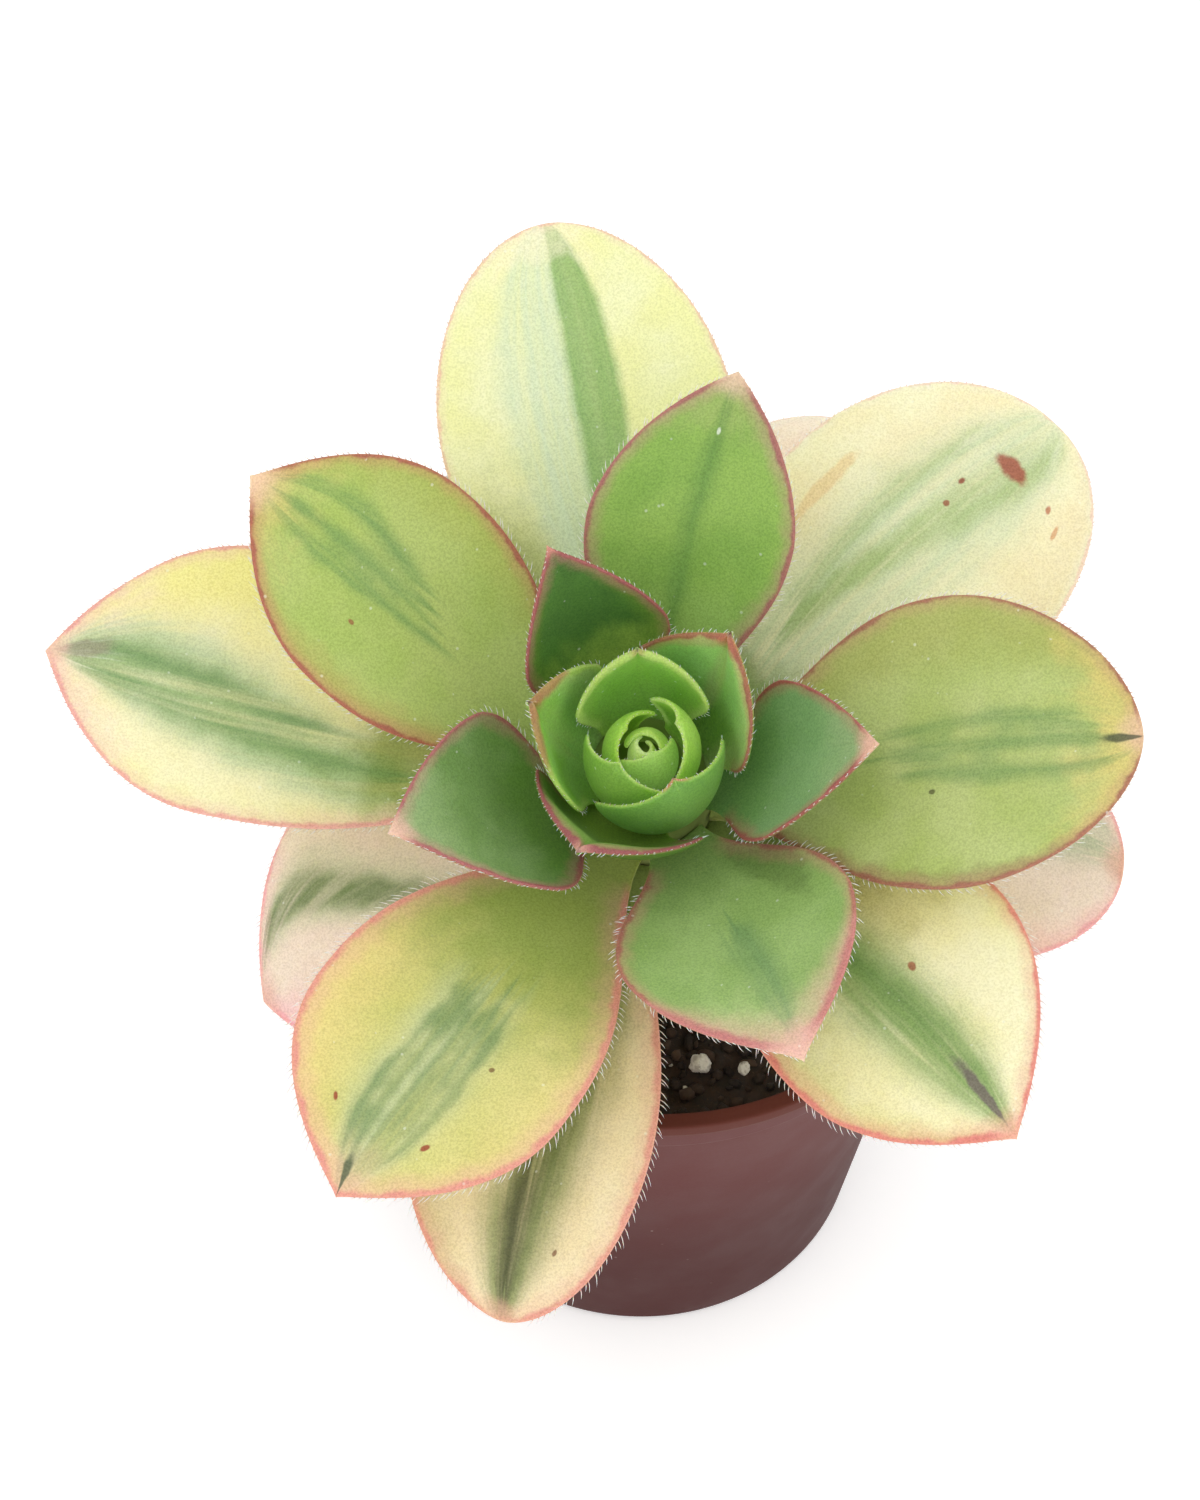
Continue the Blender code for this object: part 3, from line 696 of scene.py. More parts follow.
            ("blush", (238, 187, 188), 1.87, (233, 157, 165), 0.92, 0.61, 0.1),
            ("tip", (214, 168, 142), 0.7, 3.0),
        ],
        "hair": 0.7, "ripple": 0.2,
    },
    "leaf_28": {
        "ground": (240, 216, 202), "blotch": (238, 220, 200), "under": (240, 216, 196),
        "layers": [
            ("side", (240, 198, 196), 0.9, 0.0, 0.5),
            ("band", (170, 184, 138), 0.7, 0.8, -0.75, 0.24, 0.24, 0.6, 0.3, 1),
            ("band", (98, 120, 66), 0.9, 0.8, -0.75, 0.12, 0.13, 0.6, 0.25, 0.96),
            ("blush", (238, 189, 190), 1.7, (235, 158, 167), 0.92, 0.55, 0.1),
            ("tip", (222, 172, 160), 0.8, 3.0), ("spot", (206, 120, 90), 0.7, 0.74, 0.3, 0.4, 0.4),
        ],
        "hair": 0.75, "ripple": 0.22,
    },
    "leaf_29": {
        "ground": (252, 236, 218), "blotch": (250, 224, 208), "under": (248, 232, 212),
        "layers": [
            ("band", (222, 228, 190), 0.8, 0.15, 0.12, 0.15, 0.16, 0.6, 0.3, 1.1),
            ("blush", (238, 233, 219), 1.02, (238, 196, 193), 0.75, 0.33, 0.1),
        ],
        "hair": 0.5, "ripple": 0.2,
    },
}

greenFoot = ("wash", (126, 152, 76), 0.9, 0.34, 0.12)      # the last layer of every cream leaf

# a leaf belongs to the first group whose "before" is above its own place in the order
leafGroups = [
    # shine is the strength of a painted glow in the young leaves' own colour, standing in for light coming
    # through them
    {"before": 7, "slot": "leaf_bud", "glow": 0.9, "glowReach": 2.2, "shine": 0.16},
    {"before": 9, "slot": "leaf_bud", "glow": 0.9, "glowReach": 2.2, "shine": 0.07},
    {"before": 11, "slot": "leaf_green", "glow": 0.9, "glowReach": 2.2, "shine": 0.07},
    {"before": 17, "slot": "leaf_green", "glow": 0.35, "glowReach": 1.2},
    {"before": 20, "slot": "leaf_striped", "glow": 0.35, "glowReach": 1.2},
    {"before": len(leaves), "slot": "leaf_cream", "glow": 0.35, "glowReach": 1.2, "last": [greenFoot]},
]

leafSkin = {
    "cloud": 140, "wobble": 420, "soft": 260, "grain": 5200,      # scales of the noises
    "streakAcross": 9.0, "streakAlong": 1.6,                      # streaks run along the leaf
    "blushStrength": 0.4,
    "lit": (255, 255, 245), "litShare": 0.28, "shaded": (110, 120, 60), "shadedShare": 0.16,
    "fleck": (245, 248, 238), "fleckShare": 0.35,
    "gloss": 0.35, "smooth": 0.44, "rough": 0.56,
    "glowColour": (0.9, 1.0, 0.35),
}

# what the layers of a leaf share: its own place, distances in millimetres, noises and its look
LeafMap = namedtuple("LeafMap", "along across rim tip under place streak streaky cloud wobble soft look")


def leafSockets(tree, look, seed):
    # streak is a noise drawn out along the leaf; the three others are cloudy and of three sizes
    skin = leafSkin
    place = objectPlace(tree)
    split = addNode(tree, "ShaderNodeSeparateXYZ", {"Vector": readValue(tree, "leafMap", "Vector")})
    along, across = split.outputs[0], split.outputs[1]
    drawn = {"X": calc(tree, "MULTIPLY", across, skin["streakAcross"]),
             "Y": calc(tree, "MULTIPLY", along, skin["streakAlong"]), "Z": seed * 3.7}
    stretched = addNode(tree, "ShaderNodeCombineXYZ", drawn).outputs[0]
    streak = noise(tree, stretched, 1.0, 3.0, 0.62)
    return LeafMap(
        along, across, *(readValue(tree, name) for name in ("rimDistance", "tipDistance", "underside")),
        place, streak, calc(tree, "SUBTRACT", streak, 0.5), noise(tree, place, skin["cloud"]),
        evenNoise(tree, place, skin["wobble"], 3.0, 0.6),
        evenNoise(tree, place, skin["soft"], 2.0, 0.5), look)


def bandMask(tree, at, footCentre, tipCentre, footWidth, tipWidth, softness, start, end):
    # distance from a straight centre line over a half width, both changing evenly from foot to tip and
    # moved by the noises, then faded at both ends; a soft band is a wash and a hard one a crisp streak
    uneven, least = (0.16, 0.35) if softness > 0.4 else (0.06, 0.85)
    centre = addShare(tree, at.along, tipCentre - footCentre, footCentre)
    width = addShare(tree, at.along, tipWidth - footWidth, footWidth)
    distance = calc(tree, "ABSOLUTE", calc(tree, "SUBTRACT", at.across, centre))
    for shift in (at.streaky, at.soft):
        distance = addShare(tree, shift, uneven, distance)
    moved = addShare(tree, at.streaky, 0.5, at.along)
    return times(
        tree, fade(tree, calc(tree, "DIVIDE", distance, width), 1 + softness, max(0.0, 1 - softness)),
        fade(tree, moved, start - 0.06, start + 0.06), fade(tree, moved, end + 0.05, end - 0.05),
        fade(tree, at.streak, 0.25, 0.65, least, 1.0))


def rimMask(tree, at, width, start, end):
    # fades with the distance from the margin, ragged by the wobble, between two places along the leaf
    ragged = addShare(tree, at.wobble, 0.9 + width * 0.7, at.rim)
    moved = addShare(tree, at.wobble, 0.12, at.along)
    masks = [fade(tree, ragged, width * 1.3, width * 0.3), fade(tree, moved, start - 0.05, start + 0.05)]
    if end < 1:
        masks.append(fade(tree, moved, end + 0.05, end - 0.05))
    return times(tree, *masks)


def washMask(tree, at, start, full):
    # fades in along the leaf, moved by the noises
    return fade(tree, addShare(tree, at.streaky, 0.12, addShare(tree, at.soft, 0.3, at.along)), start, full)


def sideMask(tree, at, start, full):
    # fades in across the leaf, moved by the wobble
    return fade(tree, addShare(tree, at.wobble, 0.3, at.across), start, full)


def tipMask(tree, at, distance):
    # fades out within a distance of the tip
    return fade(tree, addShare(tree, at.wobble, distance * 0.5, at.tip), distance, distance * 0.2)


def spotMask(tree, at, along, across, length, width):
    # a ragged ellipse: the root of the summed squares of both distances over the half sizes
    squares = []
    for place, middle, share in ((at.along, along, length / at.look["length"]),
                                 (at.across, across, width / at.look["halfWidth"])):
        offset = calc(tree, "DIVIDE", calc(tree, "SUBTRACT", place, middle), share)
        squares.append(calc(tree, "MULTIPLY", offset, offset))
    distance = calc(tree, "SQRT", calc(tree, "ADD", *squares))
    return fade(tree, addShare(tree, at.wobble, 1.1, distance), 1.0, 0.55)


layerMasks = {"band": bandMask, "rim": rimMask, "wash": washMask, "side": sideMask,
              "tip": tipMask, "spot": spotMask}


def leafLayers(look):
    # every blush becomes its two rims, and the group's own last layers follow
    layers = []
    for layer in look["layers"] + look.get("last", []):
        if layer[0] == "blush":
            faint, wide, colour, strength, width, start = layer[1:]
            layers.append(("rim", faint, leafSkin["blushStrength"], wide, start, 1.0))
            layer = ("rim", colour, strength, width, start, 1.0)
        layers.append(layer)
    return layers


def leafMaterial(name, look, seed):
    # the ground colour with its blotches, then each layer over it, then grain, pale flecks and bump
    material, tree, shader = startMaterial(name)
    at, skin = leafSockets(tree, look, seed), leafSkin
    colour = mixColour(tree, fade(tree, at.cloud, 0.35, 0.68), look["ground"], look["blotch"])
    for kind, tint, strength, *values in leafLayers(look):
        mask = layerMasks[kind](tree, at, *values)
        colour = mixColour(tree, times(tree, mask, strength), colour, tint)
    colour = mixColour(tree, times(tree, at.under, look.get("underShare", 0.35)), colour, look["under"])
    grain = noise(tree, at.place, skin["grain"], 2.0, 0.7)
    lit = fade(tree, grain, 0.3, 0.7, 0.0, skin["litShare"])
    shaded = fade(tree, grain, 0.62, 0.3, 0.0, skin["shadedShare"])
    colour = mixColour(tree, lit, colour, skin["lit"], "SOFT_LIGHT")
    colour = mixColour(tree, shaded, colour, skin["shaded"], "MULTIPLY")
    flecks = scattered(tree, at.place, 760, 900, (0.14, 0.07), (0.56, 0.62))
    colour = mixColour(tree, times(tree, flecks, skin["fleckShare"]), colour, skin["fleck"])
    setFinish(tree, shader, colour, at.cloud, skin["smooth"], skin["rough"])
    if "shine" in look:     # painted glow in the leaf's own colour, standing in for light that comes through from the other side of the thin young leaves
        tree.links.new(colour, shader.inputs["Emission Color"])
        shader.inputs["Emission Strength"].default_value = look["shine"]
    shader.inputs["Specular IOR Level"].default_value = skin["gloss"]
    shader.inputs["Subsurface Weight"].default_value = look["glow"]
    shader.inputs["Subsurface Radius"].default_value = skin["glowColour"]
    shader.inputs["Subsurface Scale"].default_value = look["glowReach"] * mm
    addBump(tree, shader, addShare(tree, at.streak, 0.6, grain), 0.22, 0.09)
    return material


def lookOf(order):
    # a leaf's own look together with its group's, its length and its half width
    group = next(group for group in leafGroups if order < group["before"])
    leaf = leaves[order]
    return {**group, **leafLooks[leafName(order)], "length": leaf.length, "halfWidth": leaf.width / 2}


def buildLeaf(order):
    # a loop runs across the upper face and back under the lower one, its points closer at the margins,
    # and near the margin both faces close in a half circle; rows crowd towards the tip
    name, look = leafName(order), lookOf(order)
    coarser = 2 if order < rosette["budLeaves"] else 1
    rows, loop = rosette["rows"] // coarser, 2 * (rosette["columns"] // coarser)
    along = 1 - (1 - np.arange(rows)[:, None] / rows) ** 1.6
    turn = fullTurn(loop)[None, :]
    across = -np.cos(turn)
    rim = rimDistance(order, along, across)
    bend = np.clip(rim / (blade["edge"] / 2), 0, 1)
    roundness = np.sqrt(1 - (1 - bend) ** 2)
    lower = np.arange(loop)[None, :] > loop // 2
    depth = 0.5 + np.where(lower, 0.5, -0.5) * roundness
    grid = leafPoints(order, along, across, depth, look)
    tipPoint = leafPoints(order, np.ones((1, 1)), np.zeros((1, 1)), 0.5, look)[0, 0]
    points, quads, fans = closedTube(grid, [grid[0].mean(axis=0), tipPoint])
    piece = addPiece(f"{name}_blade", points, quads, fans, name)
    full = along + 0 * across
    leafMap = np.stack([full, across + 0 * full, 0 * full], axis=-1).reshape(-1, 3)
    toTip = np.hypot((1 - full) * look["length"], across * halfWidth(order, full))
    # each list goes on with its values at the middle of the foot and at the tip
    setValues(piece, "leafMap", np.concatenate([leafMap, [[0, 0, 0], [1, 0, 0]]]), "FLOAT_VECTOR")
    setValues(piece, "rimDistance", np.append(rim.ravel(), [look["halfWidth"], 0]))
    setValues(piece, "tipDistance", np.append(toTip.ravel(), [look["length"], 0]))
    setValues(piece, "underside", np.append((lower * roundness).ravel(), [0.5, 0.5]))
    piece.data.materials.append(leafMaterial(name, look, order))


hairLook = {
    "bareLeaves": 3,                # the youngest leaves have none
    "from": 0.14, "to": 0.985,      # share of the leaf's length
    "spacing": 0.62,                # millimetres along the margin
    "length": (0.5, 1.1),
    "radius": 0.06,
    "sweep": 0.75,                  # how far the hairs lean towards the tip
    "spread": 0.22,
    "curl": 0.35,
    "rings": (-0.15, 0.4, 0.75, 1.0), "taper": (1.0, 0.75, 0.45),   # share of length, and of radius
    "root": (236, 190, 176), "end": (252, 250, 246), "dull": (214, 196, 176),
}


def hairMaterial():
    # from the root colour to the end colour along each hair, with a dull grain
    material, tree, shader = startMaterial("margin_hair")
    share = readValue(tree, "hairShare")
    colour = mixColour(tree, fade(tree, share, 0.0, 0.5), hairLook["root"], hairLook["end"])
    grain = noise(tree, objectPlace(tree), 3000)
    colour = mixColour(tree, fade(tree, grain, 0.4, 0.7, 0.0, 0.2), colour, hairLook["dull"])
    setFinish(tree, shader, colour, grain, 0.35, 0.55)
    shader.inputs["Subsurface Weight"].default_value = 0.4
    shader.inputs["Subsurface Scale"].default_value = 0.4 * mm
    return material


def hairRoots(order, look, rng):
    # for both margins: evenly spaced roots shifted by up to a third of a space, the ways out of the
    # margin and towards the tip, and the lengths, shorter at both ends of the row
    rows = []
    for side in (-1, 1):
        fine = np.linspace(hairLook["from"], hairLook["to"], 500)
        line = leafPoints(order, fine[:, None], np.full((500, 1), float(side)), 0.5, look)[:, 0]
        arc = runLength(line) / mm
        count = max(2, int(arc[-1] / hairLook["spacing"]))
        at = (np.arange(count) + 0.5 + rng.uniform(-0.35, 0.35, count)) * arc[-1] / count
        share = np.interp(at, arc, fine)[:, None]
        spots = ((share, 0.998), (share, 0.93), (np.clip(share + 0.006, 0, 1), 0.998))
        root, inner, ahead = (leafPoints(order, along, np.full((count, 1), side * wide), 0.5, look)[:, 0]
                              for along, wide in spots)
        endShare = np.interp(at / arc[-1], (0, 0.15, 0.9, 1), (0.5, 1, 1, 0.6))
        rows.append((root, root - inner, ahead - root, rng.uniform(*hairLook["length"], count) * endShare))
    return (np.concatenate(values) for values in zip(*rows))


def buildHairs(order, material):
    # along each margin a row of thin cones: three rings of three points and a tip, leaning out of the
    # margin and bending towards the leaf's tip
    look = lookOf(order)
    rng = np.random.default_rng(300 + order)
    root, out, tip, size = hairRoots(order, look, rng)
    size = (size * look["hair"] * mm)[:, None, None]
    tip = unit(tip)
    out = unit(out - tip * (out * tip).sum(axis=1)[:, None])
    above = np.cross(out, tip)
    hairs = len(root)
    lean = hairLook["sweep"] * rng.uniform(0.6, 1.4, (hairs, 1))
    heading = unit(out + lean * tip + rng.normal(0, hairLook["spread"], (hairs, 1)) * above)
    share = np.array(hairLook["rings"])[None, :, None]
    curl = hairLook["curl"] * np.clip(share, 0, 1) ** 2
    centre = root[:, None] + size * (share * heading[:, None] + curl * tip[:, None])
    frames = np.stack([above, np.cross(heading, above)], axis=1)[:, None]
    around = onCircle(fullTurn(3)) @ frames
    radius = hairLook["radius"] * mm * np.array(hairLook["taper"])[None, :, None, None]
    rings = centre[:, :3, None] + radius * around
    points = np.concatenate([rings.reshape(hairs, 9, 3), centre[:, 3:]], axis=1).reshape(-1, 3)
    ends = np.array([(6, 7, 9), (7, 8, 9), (8, 6, 9), (2, 1, 0)])
    first = np.arange(hairs)[:, None, None] * 10
    quads, triangles = (first + gridFaces(3, 3)).reshape(-1, 4), (first + ends).reshape(-1, 3)
    piece = addPiece(f"{leafName(order)}_hairs", points, quads, triangles)
    setValues(piece, "hairShare", np.tile(np.repeat([0.0, *hairLook["rings"][1:]], [3, 3, 3, 1]), hairs))
    piece.data.materials.append(material)


print("building leaves")
hairFinish = hairMaterial()
for order in range(len(leaves)):
    buildLeaf(order)
    if order >= hairLook["bareLeaves"]:
        buildHairs(order, hairFinish)


# Stem: a bark column that follows the leaves' seats and bends down into the soil

stemLook = {
    "foot": (0.6, 2.4, 32.0),       # where it ends in the soil, millimetres
    "footRadius": 4.6,
    "inset": 0.3,                   # how far it stays inside the leaves' feet
    "topRings": 57, "bendRings": 70, "segments": 72,
    "bareFrom": 14, "bareFade": 4,  # distance down the stem where the scars begin
    "scar": 0.35,                   # height of the leaf scars
    "bark": (118, 96, 66), "dark": (66, 50, 34), "green": (124, 138, 70),
}


def stemLine():
    # centre points and radii: down the leafy top, then along a four-point curve to the foot
    apex, axis = np.array(rosette["apex"]), rosetteAxes()[2]
    seats = np.array([leafSeat(order) for order in np.linspace(0, len(leaves) - 1, stemLook["topRings"])])
    top = apex + axis * seats[:, 1:]
    topRadius = seats[:, 0] - stemLook["inset"]
    start = apex + axis * (seats[-1, 1] - 2.5)
    foot = np.array(stemLook["foot"])
    reach = np.linalg.norm(start - foot) / 3
    t = np.linspace(0, 1, stemLook["bendRings"])[:, None]
    bends = (start, start - axis * reach, foot + np.array([0, 0, reach]), foot)
    weights = ((1 - t) ** 3, 3 * t * (1 - t) ** 2, 3 * t**2 * (1 - t), t**3)
    lower = sum(weight * bend for weight, bend in zip(weights, bends))
    lowerRadius = topRadius[-1] + (stemLook["footRadius"] - topRadius[-1]) * np.clip(1.6 * t[:, 0], 0, 1)
    return np.concatenate([top, lower]), np.concatenate([topRadius, lowerRadius])


def buildStem():
    # rings along the centre line; the scars are two sine waves that wind round the stem in opposite
    # ways, multiplied together, with seeded waves over them
    centre, radius = stemLine()
    heading = unit(np.gradient(centre, axis=0))
    right = unit(np.array([1.0, 0, 0]) - heading * heading[:, :1])
    turn = fullTurn(stemLook["segments"])
    deep = runLength(centre)
    down = deep[:, None]
    ridge = np.sin(down * 3.2 + 3 * turn) * np.sin(down * 2.1 - 2 * turn)
    bare = np.clip((down - stemLook["bareFrom"]) / stemLook["bareFade"], 0, 1)
    size = radius[:, None] + stemLook["scar"] * bare * (ridge * 0.5 - 0.3)
    around = onCircle(turn) @ np.stack([right, np.cross(heading, right)], axis=1)
    grid = centre[:, None] + size[..., None] * around
    grid = grid + (bare * 0.08 * waves(grid, 1.1, 7))[..., None]
    points, quads, fans = closedTube(grid * mm)
    piece = addPiece("stem_bark", points, quads, fans, "stem")
    setValues(piece, "downStem", np.append(np.repeat(deep, len(turn)), [0, deep[-1]]))
    return piece


def stemMaterial():
    # patches of two barks, green up in the rosette
    material, tree, shader = startMaterial("stem_bark")
    place = objectPlace(tree)
    patch = noise(tree, place, 520, 4.0, 0.65)
    colour = mixColour(tree, fade(tree, patch, 0.35, 0.65), stemLook["bark"], stemLook["dark"])
    colour = mixColour(tree, fade(tree, readValue(tree, "downStem"), 20, 10), colour, stemLook["green"])
    setFinish(tree, shader, colour, patch, 0.7, 0.9)
    addBump(tree, shader, noise(tree, place, 1500, 4.0, 0.7), 0.5, 0.2)
    return material


print("building stem")
buildStem().data.materials.append(stemMaterial())


# Pot: a thin tapered cup with a collar, a rounded lip and drain holes

potLook = {
    "base": 21.5, "wall": 1.0, "floor": 1.2,                # millimetres; rim and height follow the frame
    "lipStep": 0.6, "collarStep": 0.5, "collarRise": 0.5,   # each step out from the body to the lip
    "segments": 192, "ringGap": 2.2,
    "holes": 5, "holeRadius": 2.0, "holeCircle": 13.5, "holeSegments": 32,
    # low is a painted shade colour for the lower wall; body is the colour higher up
    "body": (100, 56, 54), "low": (76, 38, 36), "lip": (96, 50, 40), "dust": (178, 156, 150),
    "lipDepth": 1.9,
}


def roundedProfile(corners, steps=6):
    # each corner (radius, height, rounding) becomes a short curve between points that far from it
    line = []
    spots = np.array([corner[:2] for corner in corners], float)
    for i, (x, z, size) in enumerate(corners):
        if size == 0:
            line.append((x, z))
            continue
        first = spots[i] + unit(spots[i - 1] - spots[i]) * size
        last = spots[i] + unit(spots[i + 1] - spots[i]) * size
        t = np.linspace(0, 1, steps)[:, None]
        line.extend(((1 - t) ** 2 * first + 2 * t * (1 - t) * spots[i] + t**2 * last).tolist())
    return np.array(line)


def potProfile(rim, height):
    # from the middle of the underside out, up the outside, over the lip and down the inside
    base, wall = potLook["base"], potLook["wall"]
    lip = rim - potLook["lipStep"]
    body = lip - 2 * potLook["collarStep"]
    collar = body + potLook["collarStep"]
    bodyTop, collarTop = height - 5.5, height - 5.5 + potLook["collarRise"]
    return roundedProfile([
        (0.4, 0.35, 0), (base - 3.2, 0.35, 0.3), (base - 2.6, 0, 0.2), (base - 0.8, 0, 0.3), (base, 0.8, 0.5),
        (body, bodyTop, 0.4), (collar, collarTop, 0.3), (lip, height - 2.1, 0.3), (rim, height - 1.5, 0.3),
        (rim, height, 0.32), (lip - wall, height, 0.32), (collar - wall, collarTop, 0.3),
        (body - wall, bodyTop, 0.3), (base - wall, potLook["floor"], 0.6), (0.4, potLook["floor"], 0)])


def drainCutter():
    # one upright cylinder for each drain hole, evenly round a circle
    points, faces = [], []
    for angle in fullTurn(potLook["holes"]) + np.pi / potLook["holes"]:
        circle = onCircle(angle) * potLook["holeCircle"]
        circle = circle + onCircle(fullTurn(potLook["holeSegments"])) * potLook["holeRadius"]
        tube = np.stack([np.column_stack([circle, np.full(len(circle), z)]) for z in (-2.0, 4.0)])
        tubePoints, tubeQuads, tubeFans = closedTube(tube * mm)
        faces += (tubeQuads + len(points)).tolist() + (tubeFans + len(points)).tolist()
        points += tubePoints.tolist()
    mesh = bpy.data.meshes.new("drain_cutter")
    mesh.from_pydata(points, [], faces)
    return addObject("drain_cutter", mesh)


def buildPot():
    # the profile, with a ring every few millimetres, is turned about the upright axis, and the drain
    # holes are cut out of it
    low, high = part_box("pot")
    profile = potProfile((high.x - low.x) / 2 / mm, high.z / mm)
    arc = runLength(profile)
    counts = np.maximum(1, (np.diff(arc) / potLook["ringGap"]).astype(int))
    stops = [np.linspace(a, b, count, endpoint=False) for a, b, count in zip(arc, arc[1:], counts)]
    stops = np.concatenate(stops + [arc[-1:]])
    radius, up = (np.interp(stops, arc, column)[:, None, None] for column in profile.T)
    around = onCircle(fullTurn(potLook["segments"]))
    grid = np.concatenate([radius * around, np.broadcast_to(up, (len(up), len(around), 1))], axis=-1)
    points, quads, fans = closedTube(grid * mm)
    piece = addPiece("pot_shell", points, quads, fans, "pot")
    cutter = drainCutter()
    cut = piece.modifiers.new("drain", "BOOLEAN")
    cut.operation, cut.solver, cut.object = "DIFFERENCE", "EXACT", cutter
    bpy.context.view_layer.update()
    shaped = bpy.data.meshes.new_from_object(piece.evaluated_get(bpy.context.evaluated_depsgraph_get()))
    piece.modifiers.clear()
    piece.data = shaped
    shaped.name = "pot_shell"
    shaped.set_sharp_from_angle(angle=math.radians(50))
    bpy.data.meshes.remove(cutter.data)     # takes its object with it
    shaped.materials.clear()
    shaped.materials.append(potMaterial(high.z - potLook["lipDepth"] * mm))


def potMaterial(lipStart):
    # plain plastic with painted shade that darkens it towards its foot, with a redder lip, faint flow marks
    # and dust
    material, tree, shader = startMaterial("pot_plastic")
    place = objectPlace(tree)
    up = addNode(tree, "ShaderNodeSeparateXYZ", {"Vector": place}).outputs[2]
    cloud = noise(tree, place, 90, 3.0, 0.6)
    fine = noise(tree, place, 3400, 2.0, 0.7)
    # painted shade: the low colour at the foot gives way to the body colour higher up, its edge moved by the
    # cloud noise
    level = addShare(tree, cloud, 6 * mm, up)
    colour = mixColour(tree, fade(tree, level, 12 * mm, 46 * mm), potLook["low"], potLook["body"])
    lipLevel = addShare(tree, fine, 0.25 * mm, up)
    lip = fade(tree, lipLevel, lipStart, lipStart + 0.5 * mm, 0.0, 0.85)
    colour = mixColour(tree, lip, colour, potLook["lip"])
    colour = mixColour(tree, fade(tree, fine, 0.35, 0.7, 0.0, 0.3), colour, potLook["dust"], "SOFT_LIGHT")
    specks = scattered(tree, place, 420, 260, (0.09, 0.04), (0.55, 0.66), 0.5)
    colour = mixColour(tree, specks, colour, potLook["dust"])
    setFinish(tree, shader, colour, cloud, 0.48, 0.6)
    shader.inputs["Specular IOR Level"].default_value = 0.12
    flow = addNode(tree, "ShaderNodeCombineXYZ", {"X": 0.0, "Y": 0.0, "Z": up}).outputs[0]
    addBump(tree, shader, addShare(tree, noise(tree, flow, 900), 0.5, fine), 0.12, 0.06)
    return material


print("building pot")
buildPot()


# Soil: a crumbly bed, loose crumbs and bark slivers, and perlite

soilLook = {
    "rings": 70, "segments": 220,
    "crown": 1.0, "sunk": 0.35, "coarse": 0.28, "fine": 0.16,   # millimetres
    "floorInset": 5.6,
    "dark": (30, 22, 18), "mid": (58, 42, 33), "light": (92, 70, 55),
    "perlite": (226, 222, 214), "perliteShade": (168, 160, 150),
    "perliteLumps": 6, "lumpGrowth": 1.04,
}

# loose bits: how many, smallest and largest size in millimetres, seed, stretch and slot
looseBits = {
    "soil_crumbs": (950, (0.45, 1.7), 21, (0.8, 1.3), "potting_soil"),
    "bark_slivers": (90, (0.7, 1.5), 22, (1.8, 3.4), "potting_soil"),
    "perlite_grains": (70, (0.25, 0.7), 23, (0.8, 1.2), "perlite"),
}


def soilShape():
    # radius, floor and top of the soil in millimetres
    low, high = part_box("soil")
    return (high.x - low.x) / 2 / mm, low.z / mm, high.z / mm


def soilTop(x, y):
    # crowned in the middle, with lumps of two sizes that die out at the wall
    radius, _, high = soilShape()
    share = np.clip(np.hypot(x, y) / radius, 0, 1)
    spot = np.stack([x, y, 0 * x], axis=-1)
    lumps = soilLook["coarse"] * waves(spot, 3.1, 11) + soilLook["fine"] * waves(spot, 1.3, 12)
    return high - soilLook["crown"] * share**2 - soilLook["sunk"] + lumps * (1 - share**8)


def buildSoil():
    # one grid of rings: from the middle of the top out to the wall, and down it to the floor
    radius, low, _ = soilShape()
    share = np.linspace(0.004, 1, soilLook["rings"])[:, None, None]
    flat = radius * share * onCircle(fullTurn(soilLook["segments"]))
    top = np.dstack([flat, soilTop(flat[..., 0], flat[..., 1])])
    down = np.array([0.25, 0.6, 1.0])[:, None, None]
    narrow = 1 - soilLook["floorInset"] / radius * down
    edge, edgeHeight = top[-1:, :, :2], top[-1:, :, 2:]
    side = np.concatenate([edge * narrow, edgeHeight + (low - edgeHeight) * down], axis=-1)
    points, quads, fans = closedTube(np.concatenate([top, side]) * mm)
    return addPiece("soil_bed", points, quads, fans, "soil")


def lumpShape():
    # the twelve corners and twenty faces of an icosahedron
    gold = (1 + math.sqrt(5)) / 2
    pairs = [(a, b * gold) for a in (-1, 1) for b in (-1, 1)]
    corners = [(0, a, b) for a, b in pairs] + [(a, b, 0) for a, b in pairs] + [(b, 0, a) for a, b in pairs]
    corners = np.array(corners, float)
    near = np.linalg.norm(corners[:, None] - corners, axis=-1) < 2.1
    faces = np.array([(i, j, k) for i in range(12) for j in range(i + 1, 12) for k in range(j + 1, 12)
                      if near[i, j] and near[j, k] and near[i, k]])
    a, b, c = (corners[faces[:, i]] for i in range(3))
    inward = (np.cross(b - a, c - a) * a).sum(axis=1) < 0
    faces[inward] = faces[inward][:, ::-1]
    return unit(corners), faces


def turnPair(first, second, angle):
    # two coordinates turned by an angle
    cosine, sine = np.cos(angle)[:, None], np.sin(angle)[:, None]
    return first * cosine - second * sine, first * sine + second * cosine


